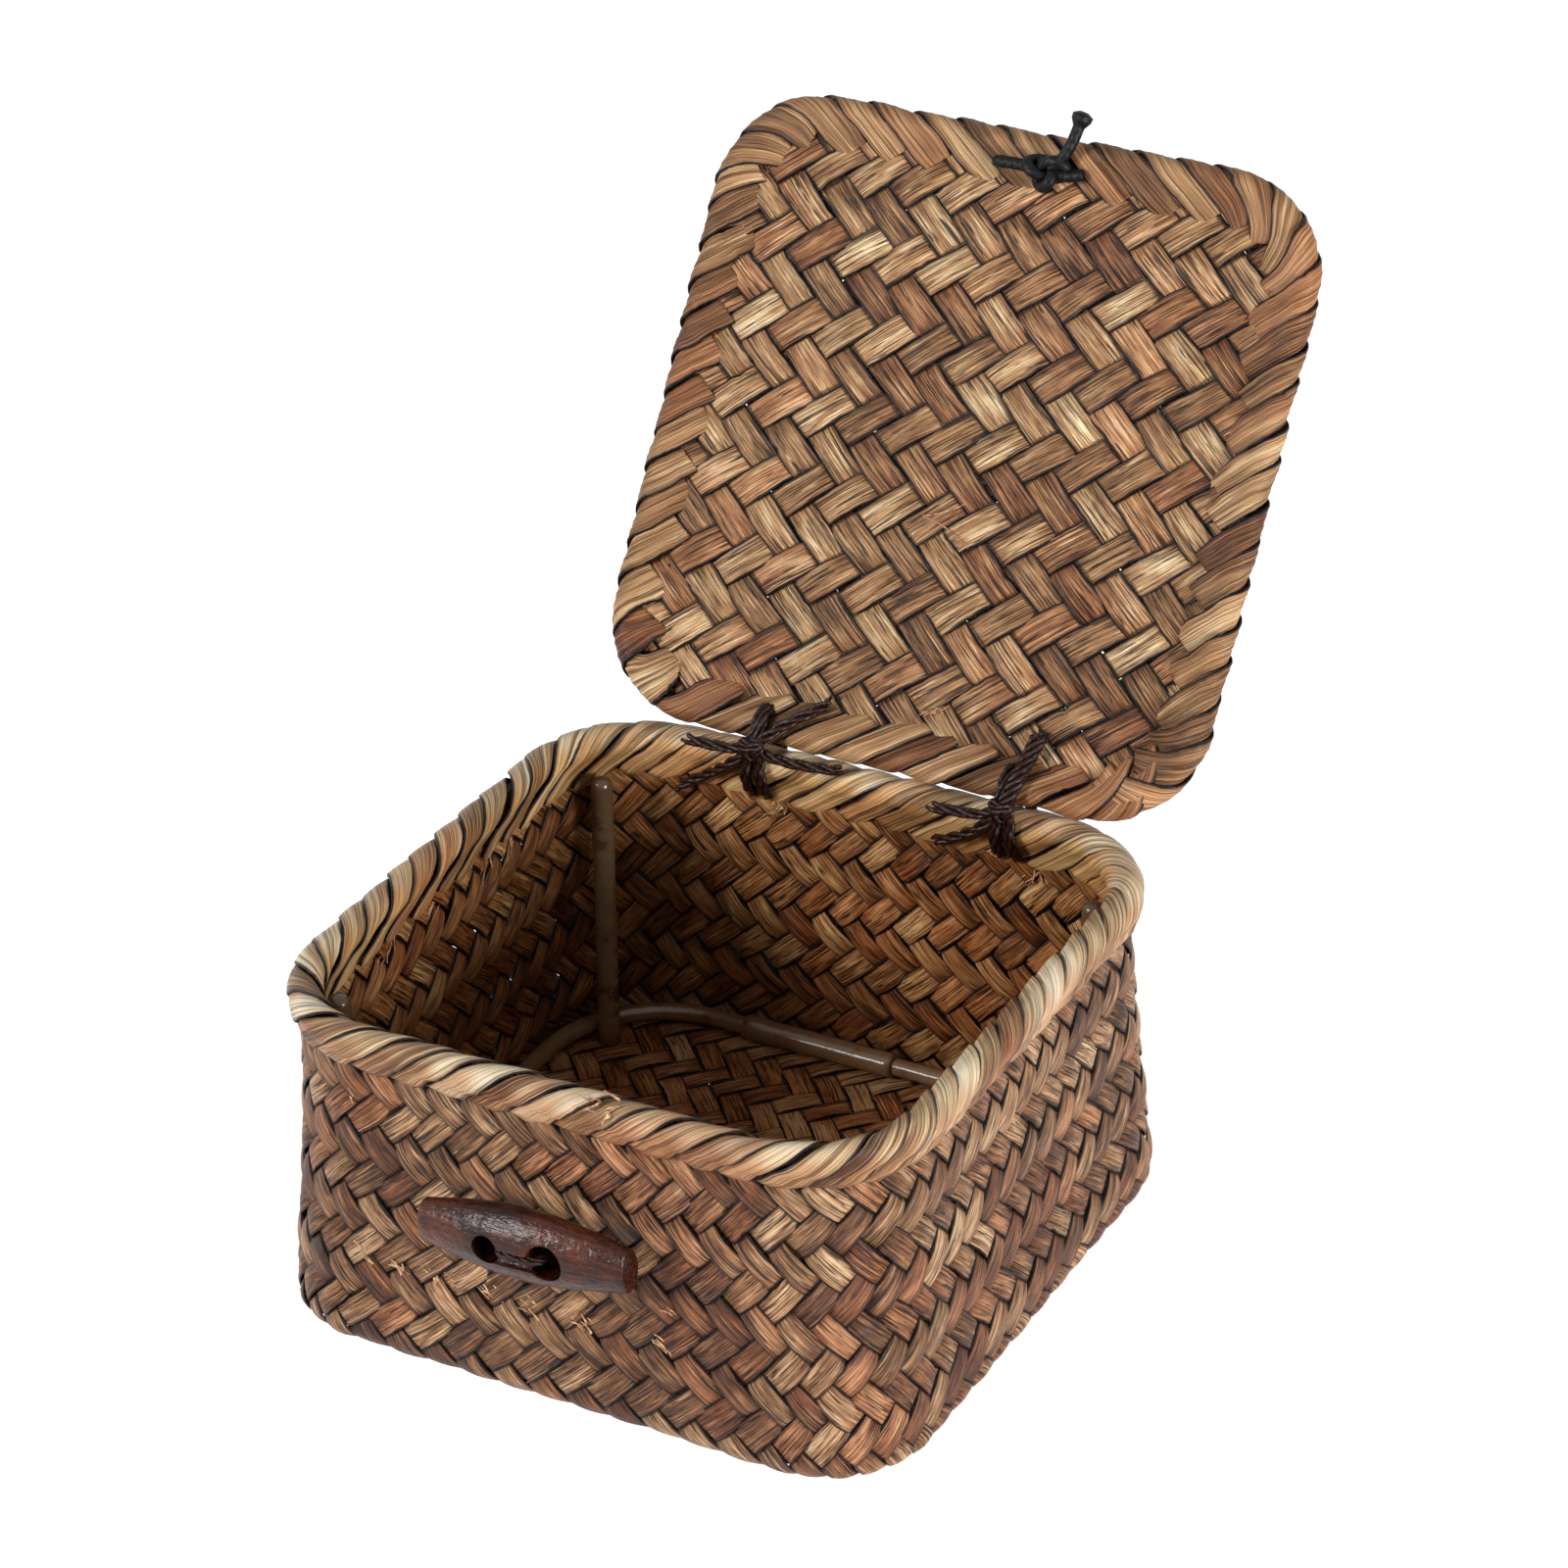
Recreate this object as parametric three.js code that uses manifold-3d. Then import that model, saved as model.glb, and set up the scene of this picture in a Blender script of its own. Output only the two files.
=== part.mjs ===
// A small square box plaited from dyed plant strips, with its lid leaning open on two hinge ties.
// Millimetres, +Z up, +X to the right, the front with its wooden toggle towards -Y.
// The origin lies on the surface that the box stands on, under the middle of its rim.

import * as THREE from 'three';
import { mergeVertices } from 'three/addons/utils/BufferGeometryUtils.js';
import Module from 'manifold-3d';

const wasm = await Module();
wasm.setup();

// The gap that pieces keep where they touch, and how far a cutting tool runs past a face.
const clearance = 0.3;
const overrun = 2;

// Slivers narrower than this, which a cut can leave, are closed.
const smallestEdge = 0.01;

// The basket's length and depth are those of the centre line of its rolled rim.
const basketLength = 142;
const basketDepth = 136;
const rimHeight = 74.2;
const rimCornerRadius = 25.8;
const wallThickness = 2.4;
const floorThickness = 2;
const footSpread = 3.1;
const footForward = 1.4;
const footCornerRadius = 23;
const footEdgeRadius = 5;
const footFlarePower = 1.6;

// The plaiting: a twill of slanting strips, over two and under two. Its slope is rise over run.
const wallStrips = 66;
const wallPlaitSlope = 1.032;
const wallPlaitRaise = 1.5;
const wallPlaitTurn = -3;
const wallPlaitDepth = 0.9;
const lidStripSpacing = 10.8;
const lidPlaitSlope = 0.833;
const lidPlaitRaise = 8.2;
const lidPlaitShift = 1.2;
const lidPlaitDepth = 0.6;

// The rim: strips folded round a hidden hoop. Its radius is taken over the strips.
const rimTubeRadius = 3.8;
const rimHoopRadius = 1.8;

// The rods of the inner frame: a base hoop with its ends in a sleeve, and a post in each corner.
const baseHoopRadius = 2.05;
const baseHoopInset = 2.4;
const baseHoopCornerRadius = 28.2;
const sleeveWall = 0.5;
const sleeveFit = 0.25;
const sleeveLength = 38;
const sleeveOffset = -13.6;
const hoopEndGap = 0.8;
const postRadius = 2.5;
const frontPostRise = -1.5;
const backPostRise = -5;
const postFootDirection = THREE.MathUtils.degToRad(33);
const postHeadDirection = THREE.MathUtils.degToRad(35);

// The lid: a flat panel whose edge is folded round a thin hoop.
const lidLength = 147;
const lidDepth = 143.2;
const lidShift = 1.5;
const lidPanelThickness = 2;
const lidTubeRadius = 3.1;
const lidHoopRadius = 1.5;
const lidCornerRadius = 25.1;
const lidSeatGap = 0.5;
const lidSetBack = 2.2;
const lidOpening = THREE.MathUtils.degToRad(123);

// The hinge ties: two turns of waxed cord each, round both rolled edges, knotted inside.
const tieCordRadius = 1.1;
const tieTailRadius = 0.9;
const tieSpread = 4.8;
const leftTieX = -27.5;
const rightTieX = 34.2;
const tieKnotWidth = 6.4;
const tieKnotDepth = 4.4;
const tieKnotHeight = 4.2;

// The toggle: a barrel of dark wood, tied through two holes to a neck of cord.
const toggleLength = 48.6;
const toggleHeight = 16.5;
const toggleDepth = 11;
const toggleEndHeight = 10.4;
const toggleEdgeRadius = 1.4;
const toggleTilt = THREE.MathUtils.degToRad(2.5);
const toggleX = -1.2;
const toggleZ = 44.9;
const toggleHoleRadius = 3;
const toggleHoleSpacing = 14.3;
const toggleGrooveDepth = 2.6;
const toggleCordThickness = 2.2;
const toggleCordWidth = 4.4;
const toggleNeckRadius = 1.6;
const toggleKnotWidth = 7;
const toggleKnotDepth = 4;

// The closure: one length of black elastic, looped outside the lid and knotted inside it.
const elasticRadius = 1.4;
const elasticHoleSpacing = 13;
const elasticInset = 4.8;
const closureDrop = 52;
const closureKnotWidth = 8;
const closureKnotLength = 6.8;
const closureKnotHeight = 5.8;

// How finely round shapes are faceted.
const cornerSteps = 9;
const rodSides = 12;
const hoopSides = 6;
const cordSides = 6;
const arcSteps = 8;
const wallSteps = 6;

const quarterTurn = Math.PI / 2;
const fullTurn = Math.PI * 2;

// Sizes that follow from those above.
const wallTop = rimHeight - rimHoopRadius - clearance;
const rimBack = basketDepth / 2;
const hingeY = rimBack + lidSetBack;
const hingeZ = rimHeight + rimTubeRadius + lidTubeRadius + lidSeatGap;
const lidLean = Math.PI - lidOpening;
const lidCentreLength = lidLength - lidTubeRadius * 2;
const lidCentreDepth = lidDepth - lidTubeRadius * 2;
const lidCentreCornerRadius = lidCornerRadius - lidTubeRadius;
const elasticHoleY = lidCentreDepth - elasticInset;
const rimOutlineLength = (basketLength + basketDepth - rimCornerRadius * 4) * 2 + rimCornerRadius * fullTurn;
const wallStripSpacing = rimOutlineLength / wallStrips;
const wallPlaitRow = (wallStripSpacing * wallPlaitSlope) / 2;
const lidPlaitRow = (lidStripSpacing * lidPlaitSlope) / 2;

const materials = {
  plait: material(0x6b4a32, 0.75, true),
  rolledEdge: material(0x8a6a43, 0.7),
  rod: material(0x8d7d62, 0.35),
  toggleWood: material(0x3a1d14, 0.35),
  waxedCord: material(0x2c1a1a, 0.6),
  elastic: material(0x0d0d0f, 0.8),
};

function material(color, roughness, flatShading = false) {
  return new THREE.MeshStandardMaterial({ color, roughness, metalness: 0, flatShading });
}

// Boolean work: a geometry becomes a solid and a solid a geometry again.
function solidOf(geometry) {
  const bare = geometry.clone();
  bare.deleteAttribute('normal');
  bare.deleteAttribute('uv');
  const merged = mergeVertices(bare);
  const vertProperties = new Float32Array(merged.attributes.position.array);
  const triVerts = new Uint32Array(merged.index.array);
  return new wasm.Manifold(new wasm.Mesh({ numProp: 3, vertProperties, triVerts }));
}

function geometryOf(solid) {
  const mesh = solid.getMesh();
  const geometry = new THREE.BufferGeometry();
  geometry.setAttribute('position', new THREE.BufferAttribute(mesh.vertProperties, 3));
  geometry.setIndex(new THREE.BufferAttribute(mesh.triVerts, 1));
  geometry.computeVertexNormals();
  return geometry;
}

function cutAway(geometry, tools) {
  const cut = tools.reduce((body, tool) => body.subtract(solidOf(tool)), solidOf(geometry));
  return geometryOf(cut.simplify(smallestEdge));
}

function join(geometries) {
  const [first, ...rest] = geometries.map(solidOf);
  return geometryOf(rest.reduce((body, piece) => body.add(piece), first));
}

// A rounded rectangle, anticlockwise, as points with the outward direction at each.
function roundedOutline(length, depth, radius) {
  const corners = [[1, 1], [-1, 1], [-1, -1], [1, -1]];
  const stations = [];
  corners.forEach(([sideX, sideY], corner) => {
    for (let step = 0; step <= cornerSteps; step += 1) {
      const angle = (corner + step / cornerSteps) * quarterTurn;
      const out = new THREE.Vector2(Math.cos(angle), Math.sin(angle));
      const centre = new THREE.Vector2(sideX * (length / 2 - radius), sideY * (depth / 2 - radius));
      stations.push({ at: centre.addScaledVector(out, radius), out });
    }
  });
  return stations;
}

// The point a share of the way round a rounded rectangle, anticlockwise from the middle of its front.
function outlinePoint(length, depth, radius, share) {
  const arc = radius * quarterTurn;
  const straights = [length, depth, length, depth].map((side) => side - radius * 2);
  const round = straights.reduce((sum, straight) => sum + straight + arc, 0);
  let way = share * round + straights[0] / 2;
  let side = 0;
  while (way > straights[side % 4] + arc) {
    way -= straights[side % 4] + arc;
    side += 1;
  }
  const straight = straights[side % 4];
  const angle = Math.max(way - straight, 0) / radius;
  const along = new THREE.Vector2(Math.cos(side * quarterTurn), Math.sin(side * quarterTurn));
  const out = new THREE.Vector2(along.y, -along.x);
  return new THREE.Vector2()
    .addScaledVector(along, Math.min(way, straight) - straight / 2 + radius * Math.sin(angle))
    .addScaledVector(out, straights[(side + 1) % 4] / 2 + radius * Math.cos(angle));
}

// Joins loops of points, all with the same count, into one closed body with its faces outwards.
function skin(loops, ringShaped) {
  const count = loops[0].length;
  const points = loops.flat();
  const triangles = [];
  const bands = ringShaped ? loops.length : loops.length - 1;
  for (let band = 0; band < bands; band += 1) {
    const here = band * count;
    const there = ((band + 1) % loops.length) * count;
    for (let i = 0; i < count; i += 1) {
      const next = (i + 1) % count;
      triangles.push(here + i, here + next, there + next, here + i, there + next, there + i);
    }
  }
  if (!ringShaped) {
    capLoop(points, triangles, 0, count, true);
    capLoop(points, triangles, (loops.length - 1) * count, count, false);
  }
  if (signedVolume(points, triangles) < 0) {
    triangles.reverse();
  }
  const geometry = new THREE.BufferGeometry().setFromPoints(points);
  geometry.setIndex(triangles);
  geometry.computeVertexNormals();
  return geometry;
}

// Closes a convex loop with a fan round its middle.
function capLoop(points, triangles, start, count, backwards) {
  const middle = new THREE.Vector3();
  for (let i = 0; i < count; i += 1) {
    middle.addScaledVector(points[start + i], 1 / count);
  }
  const hub = points.push(middle) - 1;
  for (let i = 0; i < count; i += 1) {
    const here = start + i;
    const next = start + ((i + 1) % count);
    triangles.push(...(backwards ? [hub, next, here] : [hub, here, next]));
  }
}

function signedVolume(points, triangles) {
  let sum = 0;
  for (let i = 0; i < triangles.length; i += 3) {
    const [a, b, c] = [points[triangles[i]], points[triangles[i + 1]], points[triangles[i + 2]]];
    sum += a.dot(new THREE.Vector3().crossVectors(b, c));
  }
  return sum;
}

// The band of triangles between two level loops, whose counts may differ. Both run anticlockwise.
function stitch(lower, upper) {
  const bearing = (at) => Math.atan2(at.y, at.x);
  const sorted = [lower, upper].map((loop) => [...loop].sort((a, b) => bearing(a) - bearing(b)));
  const [low, high] = sorted;
  const nth = (loop, i) => loop[i % loop.length];
  const turned = (loop, i) => bearing(nth(loop, i)) + (i >= loop.length ? fullTurn : 0);
  const corners = [];
  let [i, j] = [0, 0];
  while (i < low.length || j < high.length) {
    const onLow = j >= high.length || (i < low.length && turned(low, i + 1) <= turned(high, j + 1));
    const next = onLow ? nth(low, i + 1) : nth(high, j + 1);
    corners.push(nth(low, i), next, nth(high, j));
    i += onLow ? 1 : 0;
    j += onLow ? 0 : 1;
  }
  return corners;
}

// Fills a level loop with triangles that face up or down.
function fillLoop(loop, faceUp) {
  const hub = loop.reduce((sum, at) => sum.addScaledVector(at, 1 / loop.length), new THREE.Vector3());
  return loop.flatMap((at, i) => {
    const next = loop[(i + 1) % loop.length];
    return faceUp ? [hub, at, next] : [hub, next, at];
  });
}

// Carries a section, given as [outwards, upwards] points, along stations of an outline.
function sweepSection(stations, section, height, ringShaped) {
  const loops = stations.map(({ at, out }) => section.map(([outwards, upwards]) => new THREE.Vector3(
    at.x + out.x * outwards,
    at.y + out.y * outwards,
    height + upwards,
  )));
  return skin(loops, ringShaped);
}

function roundSection(radius, sides) {
  const section = [];
  for (let i = 0; i < sides; i += 1) {
    const angle = (i / sides) * fullTurn;
    section.push([radius * Math.cos(angle), radius * Math.sin(angle)]);
  }
  return section;
}

// A tube's section with a slot in it for the plaited edge. The slot faces the given direction.
function slottedSection(outerRadius, innerRadius, slotWidth, slotDirection) {
  const section = [];
  const outerLip = Math.asin(slotWidth / 2 / outerRadius);
  const innerLip = Math.asin(slotWidth / 2 / innerRadius);
  for (let i = 0; i <= rodSides; i += 1) {
    const angle = slotDirection + outerLip + (i / rodSides) * (fullTurn - outerLip * 2);
    section.push([outerRadius * Math.cos(angle), outerRadius * Math.sin(angle)]);
  }
  for (let i = 0; i <= arcSteps; i += 1) {
    const angle = slotDirection - innerLip - (i / arcSteps) * (fullTurn - innerLip * 2);
    section.push([innerRadius * Math.cos(angle), innerRadius * Math.sin(angle)]);
  }
  return section;
}

// A cord or strand along hand-placed points, oval where a second radius is given.
function strand(points, radius, sideRadius = radius) {
  const path = new THREE.CatmullRomCurve3(points, false, 'centripetal');
  const steps = Math.ceil(path.getLength() / (sideRadius * 2));
  const outline = [];
  for (let i = 0; i < cordSides; i += 1) {
    const angle = (i / cordSides) * fullTurn;
    outline.push(new THREE.Vector2(radius * Math.cos(angle), sideRadius * Math.sin(angle)));
  }
  return new THREE.ExtrudeGeometry(new THREE.Shape(outline), { steps, extrudePath: path });
}

function knot(at, width, depth, height) {
  const ball = new THREE.SphereGeometry(1, cordSides * 2, cordSides);
  ball.rotateX(quarterTurn);
  ball.scale(width / 2, depth / 2, height / 2);
  return ball.translate(at.x, at.y, at.z);
}

function point(x, y, z) {
  return new THREE.Vector3(x, y, z);
}

function addPiece(parent, name, geometry, finish) {
  const mesh = new THREE.Mesh(geometry, finish);
  mesh.name = name;
  parent.add(mesh);
  return mesh;
}

// Plaiting

// Where a strip shows it is one raised tile, two crossings long, with a groove all round it.
// Corners are [rows down, strips across] from the tile's middle, for a strip that rises to the right.
const twillRows = 4;
const tileCorners = [[-1.5, 0.25], [-0.5, 0.75], [0.5, 0.25], [1.5, -0.25], [0.5, -0.75], [-0.5, -0.25]];
const crossingCorners = [[-1, 0], [0, 0.5], [1, 0], [0, -0.5]];

// One face of a plaited sheet. crossings lists the [row, position] of each, holds tells whether there is
// one at a place, and place turns a row, a position and a level ('tile', 'groove' or 'edge') into a point.
function plaitFace(crossings, holds, place, isBack) {
  const corner = (row, position) => {
    const inside = crossingCorners.every(([down, across]) => holds(row + down, position + across));
    return place(row, position, inside ? 'groove' : 'edge');
  };
  return crossings.flatMap(([row, position]) => {
    const rises = (row % twillRows < twillRows / 2) !== isBack;
    const lean = rises ? 1 : -1;
    const isUpper = row % 2 === 0;
    const way = isUpper ? 1 : -1;
    const isPaired = holds(row + way, position - (way * lean) / 2);
    if (isPaired && !isUpper) {
      return [];
    }
    const middle = isPaired ? [row + 0.5, position - lean * 0.25] : [row, position];
    const ring = (isPaired ? tileCorners : crossingCorners)
      .map(([down, across]) => corner(middle[0] + down, middle[1] + across * lean));
    const hub = place(...middle, 'tile');
    return ring.flatMap((at, i) => {
      const next = ring[(i + 1) % ring.length];
      return rises === isBack ? [hub, at, next] : [hub, next, at];
    });
  });
}

// Every crossing in a run of rows. Each second row stands half a strip to the side.
function crossingGrid(firstRow, lastRow, firstStrip, stripCount) {
  const crossings = [];
  for (let row = firstRow; row <= lastRow; row += 1) {
    for (let strip = 0; strip < stripCount; strip += 1) {
      crossings.push([row, firstStrip + strip + (row % 2) / 2]);
    }
  }
  return crossings;
}

// Basket

// How far up the wall a height lies, from 0 on the ground to 1 at its top.
function riseShare(height) {
  return Math.min(height / wallTop, 1);
}

// How far the wall's outer face stands out past its place under the rim.
function spreadAt(height) {
  return footSpread * (1 - riseShare(height)) ** footFlarePower;
}

// How far forward of the rim's middle the wall's middle lies.
function forwardAt(height) {
  return footForward * (1 - riseShare(height));
}

function wallFrontAt(height) {
  return -basketDepth / 2 - wallThickness / 2 - spreadAt(height) - forwardAt(height);
}

// Length, depth and corner radius of the wall at a height, set in from its outer face.
function wallOutline(height, inset) {
  const grow = wallThickness + (spreadAt(height) - inset) * 2;
  const topRadius = rimCornerRadius + wallThickness / 2;
  const radius = footCornerRadius + (topRadius - footCornerRadius) * riseShare(height) - inset;
  return [basketLength + grow, basketDepth + grow, radius];
}

function wallLoop(height, inset) {
  return roundedOutline(...wallOutline(height, inset))
    .map(({ at }) => point(at.x, at.y - forwardAt(height), height));
}

// The inner face, from the rounded edge of the floor up to the wall's top.
function insideLoops() {
  const edgeRadius = footEdgeRadius - wallThickness;
  const loops = [];
  for (let step = 0; step < arcSteps / 2; step += 1) {
    const angle = (step / (arcSteps / 2)) * quarterTurn;
    const tuck = edgeRadius * (1 - Math.sin(angle));
    loops.push(wallLoop(floorThickness + edgeRadius * (1 - Math.cos(angle)), wallThickness + tuck));
  }
  const start = floorThickness + edgeRadius;
  for (let step = 0; step <= wallSteps; step += 1) {
    loops.push(wallLoop(start + ((wallTop - start) * step) / wallSteps, wallThickness));
  }
  return loops;
}

// The rows of crossings on the outside, from the first under the rim to the last above the ground.
const firstWallRow = 2;
const lastWallRow = 2 * Math.floor((rimHeight + wallPlaitRaise) / wallPlaitRow / 2) - 1;

function wallRowHeight(row) {
  return rimHeight + wallPlaitRaise - row * wallPlaitRow;
}

// How far the rounded bottom edge has drawn the outer face in.
function footTuck(height) {
  const below = Math.max(footEdgeRadius - height, 0);
  return footEdgeRadius - Math.sqrt(footEdgeRadius ** 2 - below ** 2);
}

function footRise(step) {
  return footEdgeRadius * (1 - Math.cos((step / (arcSteps / 2)) * quarterTurn));
}

// A place on the outer face, with the way round the basket counted in strips.
function wallFacePoint(height, position, depth) {
  const turned = position + wallPlaitTurn / wallStripSpacing;
  const share = THREE.MathUtils.euclideanModulo(turned, wallStrips) / wallStrips;
  const at = outlinePoint(...wallOutline(height, footTuck(height) + depth), share);
  return point(at.x, at.y - forwardAt(height), height);
}

function wallFaceLoop(height) {
  return Array.from({ length: wallStrips }, (_, strip) => wallFacePoint(height, strip, 0));
}

function wallPlaitPoint(row, position, level) {
  return wallFacePoint(wallRowHeight(row), position, level === 'groove' ? wallPlaitDepth : 0);
}

// The zigzag edge of the plaited rows, along the outer corners of its first or last crossings.
function wallPlaitEdge(row, outerRow) {
  return crossingGrid(row, row, 0, wallStrips).flatMap(([, position]) => [
    wallPlaitPoint(outerRow, position, 'edge'),
    wallPlaitPoint(row, position + 0.5, 'edge'),
  ]);
}

function basketShell() {
  const holds = (row) => row >= firstWallRow && row <= lastWallRow;
  const plait = plaitFace(
    crossingGrid(firstWallRow, lastWallRow, 0, wallStrips),
    holds,
    wallPlaitPoint,
    false,
  );
  const foot = [];
  const lowest = wallRowHeight(lastWallRow + 1);
  for (let step = 0; footRise(step) < lowest; step += 1) {
    foot.push(wallFaceLoop(footRise(step)));
  }
  const below = [...foot, wallPlaitEdge(lastWallRow, lastWallRow + 1)];
  const inside = insideLoops().reverse();
  const above = [wallPlaitEdge(firstWallRow, firstWallRow - 1), wallFaceLoop(wallTop), ...inside];
  const bands = [below, above].flatMap((loops) => loops.slice(1)
    .flatMap((loop, i) => stitch(loops[i], loop)));
  return new THREE.BufferGeometry().setFromPoints([
    ...fillLoop(foot[0], false),
    ...bands,
    ...plait,
    ...fillLoop(inside.at(-1), true),
  ]);
}

// The hole under the rim that both turns of a hinge tie pass through.
function tieHole(x) {
  const width = tieSpread + tieCordRadius * 2 + clearance * 2;
  const height = tieCordRadius * 2 + clearance * 2;
  const hole = new THREE.BoxGeometry(width, wallThickness + overrun, height);
  return hole.translate(x, rimBack, rimHeight - rimTurnRadius() + clearance / 2);
}

function neckHole() {
  const radius = toggleNeckRadius + clearance;
  const hole = new THREE.CylinderGeometry(radius, radius, wallThickness + overrun * 2, rodSides);
  return hole.translate(toggleX, wallFrontAt(toggleZ) + wallThickness / 2, toggleZ);
}

function rimBinding() {
  const outline = roundedOutline(basketLength, basketDepth, rimCornerRadius);
  const slot = wallThickness + clearance * 2;
  const section = slottedSection(rimTubeRadius, rimHoopRadius + clearance, slot, -quarterTurn);
  return sweepSection(outline, section, rimHeight, true);
}

function rimHoop() {
  const outline = roundedOutline(basketLength, basketDepth, rimCornerRadius);
  return sweepSection(outline, roundSection(rimHoopRadius, hoopSides), rimHeight, true);
}

// Inner frame

const sleeveRadius = baseHoopRadius + sleeveFit + sleeveWall;
const baseHoopHeight = floorThickness + clearance + sleeveRadius;
const baseHoopLength = basketLength - baseHoopInset * 2;
const baseHoopDepth = basketDepth - baseHoopInset * 2;
const baseHoopBack = baseHoopDepth / 2 - footForward;

// The hoop starts and ends in the sleeve, on the straight stretch along the back.
function baseHoop() {
  const outline = roundedOutline(baseHoopLength, baseHoopDepth, baseHoopCornerRadius);
  const backCorner = cornerSteps + 1;
  const end = (x) => ({ at: new THREE.Vector2(x, baseHoopDepth / 2), out: new THREE.Vector2(0, 1) });
  const stations = [
    end(sleeveOffset - hoopEndGap / 2),
    ...outline.slice(backCorner),
    ...outline.slice(0, backCorner),
    end(sleeveOffset + hoopEndGap / 2),
  ];
  const hoop = sweepSection(stations, roundSection(baseHoopRadius, rodSides), baseHoopHeight, false);
  return hoop.translate(0, -footForward, 0);
}

function hoopSleeve() {
  const bore = baseHoopRadius + sleeveFit;
  const profile = [
    new THREE.Vector2(bore, -sleeveLength / 2),
    new THREE.Vector2(sleeveRadius, -sleeveLength / 2),
    new THREE.Vector2(sleeveRadius, sleeveLength / 2),
    new THREE.Vector2(bore, sleeveLength / 2),
    new THREE.Vector2(bore, -sleeveLength / 2),
  ];
  const sleeve = new THREE.LatheGeometry(profile, rodSides * 2);
  sleeve.rotateZ(-quarterTurn);
  return sleeve.translate(sleeveOffset, baseHoopBack, baseHoopHeight);
}

// A rod with a flat foot and a domed top, standing on the origin along +Y.
function postRod(length) {
  const profile = [new THREE.Vector2(0, 0), new THREE.Vector2(postRadius, 0)];
  for (let step = 0; step < arcSteps / 2; step += 1) {
    const angle = (step / (arcSteps / 2)) * quarterTurn;
    const height = length - postRadius + postRadius * Math.sin(angle);
    profile.push(new THREE.Vector2(postRadius * Math.cos(angle), height));
  }
  profile.push(new THREE.Vector2(0, length));
  return new THREE.LatheGeometry(profile, rodSides);
}

// A post's foot stands inside the base hoop's corner and its head inside the rim's.
function addPost(parent, name, sideX, sideY, rise) {
  const footReach = baseHoopCornerRadius - baseHoopRadius - clearance - postRadius;
  const headReach = rimCornerRadius - rimTubeRadius - clearance - postRadius;
  const foot = point(
    sideX * (baseHoopLength / 2 - baseHoopCornerRadius + footReach * Math.cos(postFootDirection)),
    sideY * (baseHoopDepth / 2 - baseHoopCornerRadius + footReach * Math.sin(postFootDirection)) - footForward,
    floorThickness + clearance,
  );
  const head = point(
    sideX * (basketLength / 2 - rimCornerRadius + headReach * Math.cos(postHeadDirection)),
    sideY * (basketDepth / 2 - rimCornerRadius + headReach * Math.sin(postHeadDirection)),
    rimHeight + rise,
  );
  const along = head.clone().sub(foot);
  foot.z += clearance / 2;
  const post = addPiece(parent, name, postRod(along.length() - clearance / 2), materials.rod);
  post.position.copy(foot);
  post.quaternion.setFromUnitVectors(point(0, 1, 0), along.normalize());
}

// Lid, drawn in its own plane: +Y runs from the hinge to the far edge, +Z towards the inner face.

function lidOutline(inset) {
  return roundedOutline(
    lidCentreLength - inset * 2,
    lidCentreDepth - inset * 2,
    lidCentreCornerRadius - inset,
  );
}

function lidSweep(section) {
  return sweepSection(lidOutline(0), section, 0, true).translate(0, lidCentreDepth / 2, 0);
}

function lidBinding() {
  const slot = lidPanelThickness + clearance * 2;
  return lidSweep(slottedSection(lidTubeRadius, lidHoopRadius + clearance, slot, Math.PI));
}

// The slot in the panel that both turns of a tie pass through as the lid swings.
function tieSlot(x) {
  const width = tieSpread + tieCordRadius * 2 + clearance * 2;
  const { frontAngle } = tieAngles();
  const upright = -Math.cos(frontAngle);
  const slant = (Math.sin(frontAngle) * lidPanelThickness) / 2;
  const reach = (lidTurnRadius() + slant + tieCordRadius) / upright + tieCordRadius;
  const slot = new THREE.BoxGeometry(width, reach, lidPanelThickness + overrun);
  return slot.translate(x - lidShift, reach / 2, 0);
}

function elasticHole(side) {
  const radius = elasticRadius + clearance;
  const hole = new THREE.CylinderGeometry(radius, radius, lidPanelThickness + overrun, cordSides * 2);
  hole.rotateX(quarterTurn);
  return hole.translate((side * elasticHoleSpacing) / 2, elasticHoleY, 0);
}

// A plaited sheet that runs past the lid's outline on every side. Its two faces meet at its edge.
function lidSheet() {
  const half = Math.ceil(lidCentreLength / 2 / lidStripSpacing) + 1;
  const lastRow = Math.ceil(lidCentreDepth / lidPlaitRow) + twillRows * 2;
  const holds = (row, position) => row > 1 && row <= lastRow && Math.abs(position) <= half;
  const crossings = crossingGrid(2, lastRow, -half, half * 2 + 1)
    .filter(([row, position]) => holds(row, position));
  const start = lidCentreDepth + lidPlaitRaise + twillRows * lidPlaitRow;
  const rise = { tile: lidPanelThickness / 2, groove: lidPanelThickness / 2 - lidPlaitDepth, edge: 0 };
  const faces = [false, true].flatMap((isBack) => {
    const side = isBack ? -1 : 1;
    const place = (row, position, level) => point(
      position * lidStripSpacing + lidPlaitShift,
      start - row * lidPlaitRow,
      side * rise[level],
    );
    return plaitFace(crossings, holds, place, isBack);
  });
  return new THREE.BufferGeometry().setFromPoints(faces);
}

function lidPanel() {
  const edge = lidHoopRadius + clearance;
  const outline = lidOutline(edge).map(({ at }) => at);
  const depth = lidPanelThickness + overrun * 2;
  const cookie = new THREE.ExtrudeGeometry(new THREE.Shape(outline), { depth, bevelEnabled: false });
  cookie.translate(0, lidCentreDepth / 2, -depth / 2);
  const panel = geometryOf(solidOf(lidSheet()).intersect(solidOf(cookie)));
  return cutAway(panel, [tieSlot(leftTieX), tieSlot(rightTieX), elasticHole(-1), elasticHole(1)]);
}

// Hinge ties

function rimTurnRadius() {
  return rimTubeRadius + clearance + tieCordRadius;
}

function lidTurnRadius() {
  return lidTubeRadius + clearance + tieCordRadius;
}

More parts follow.
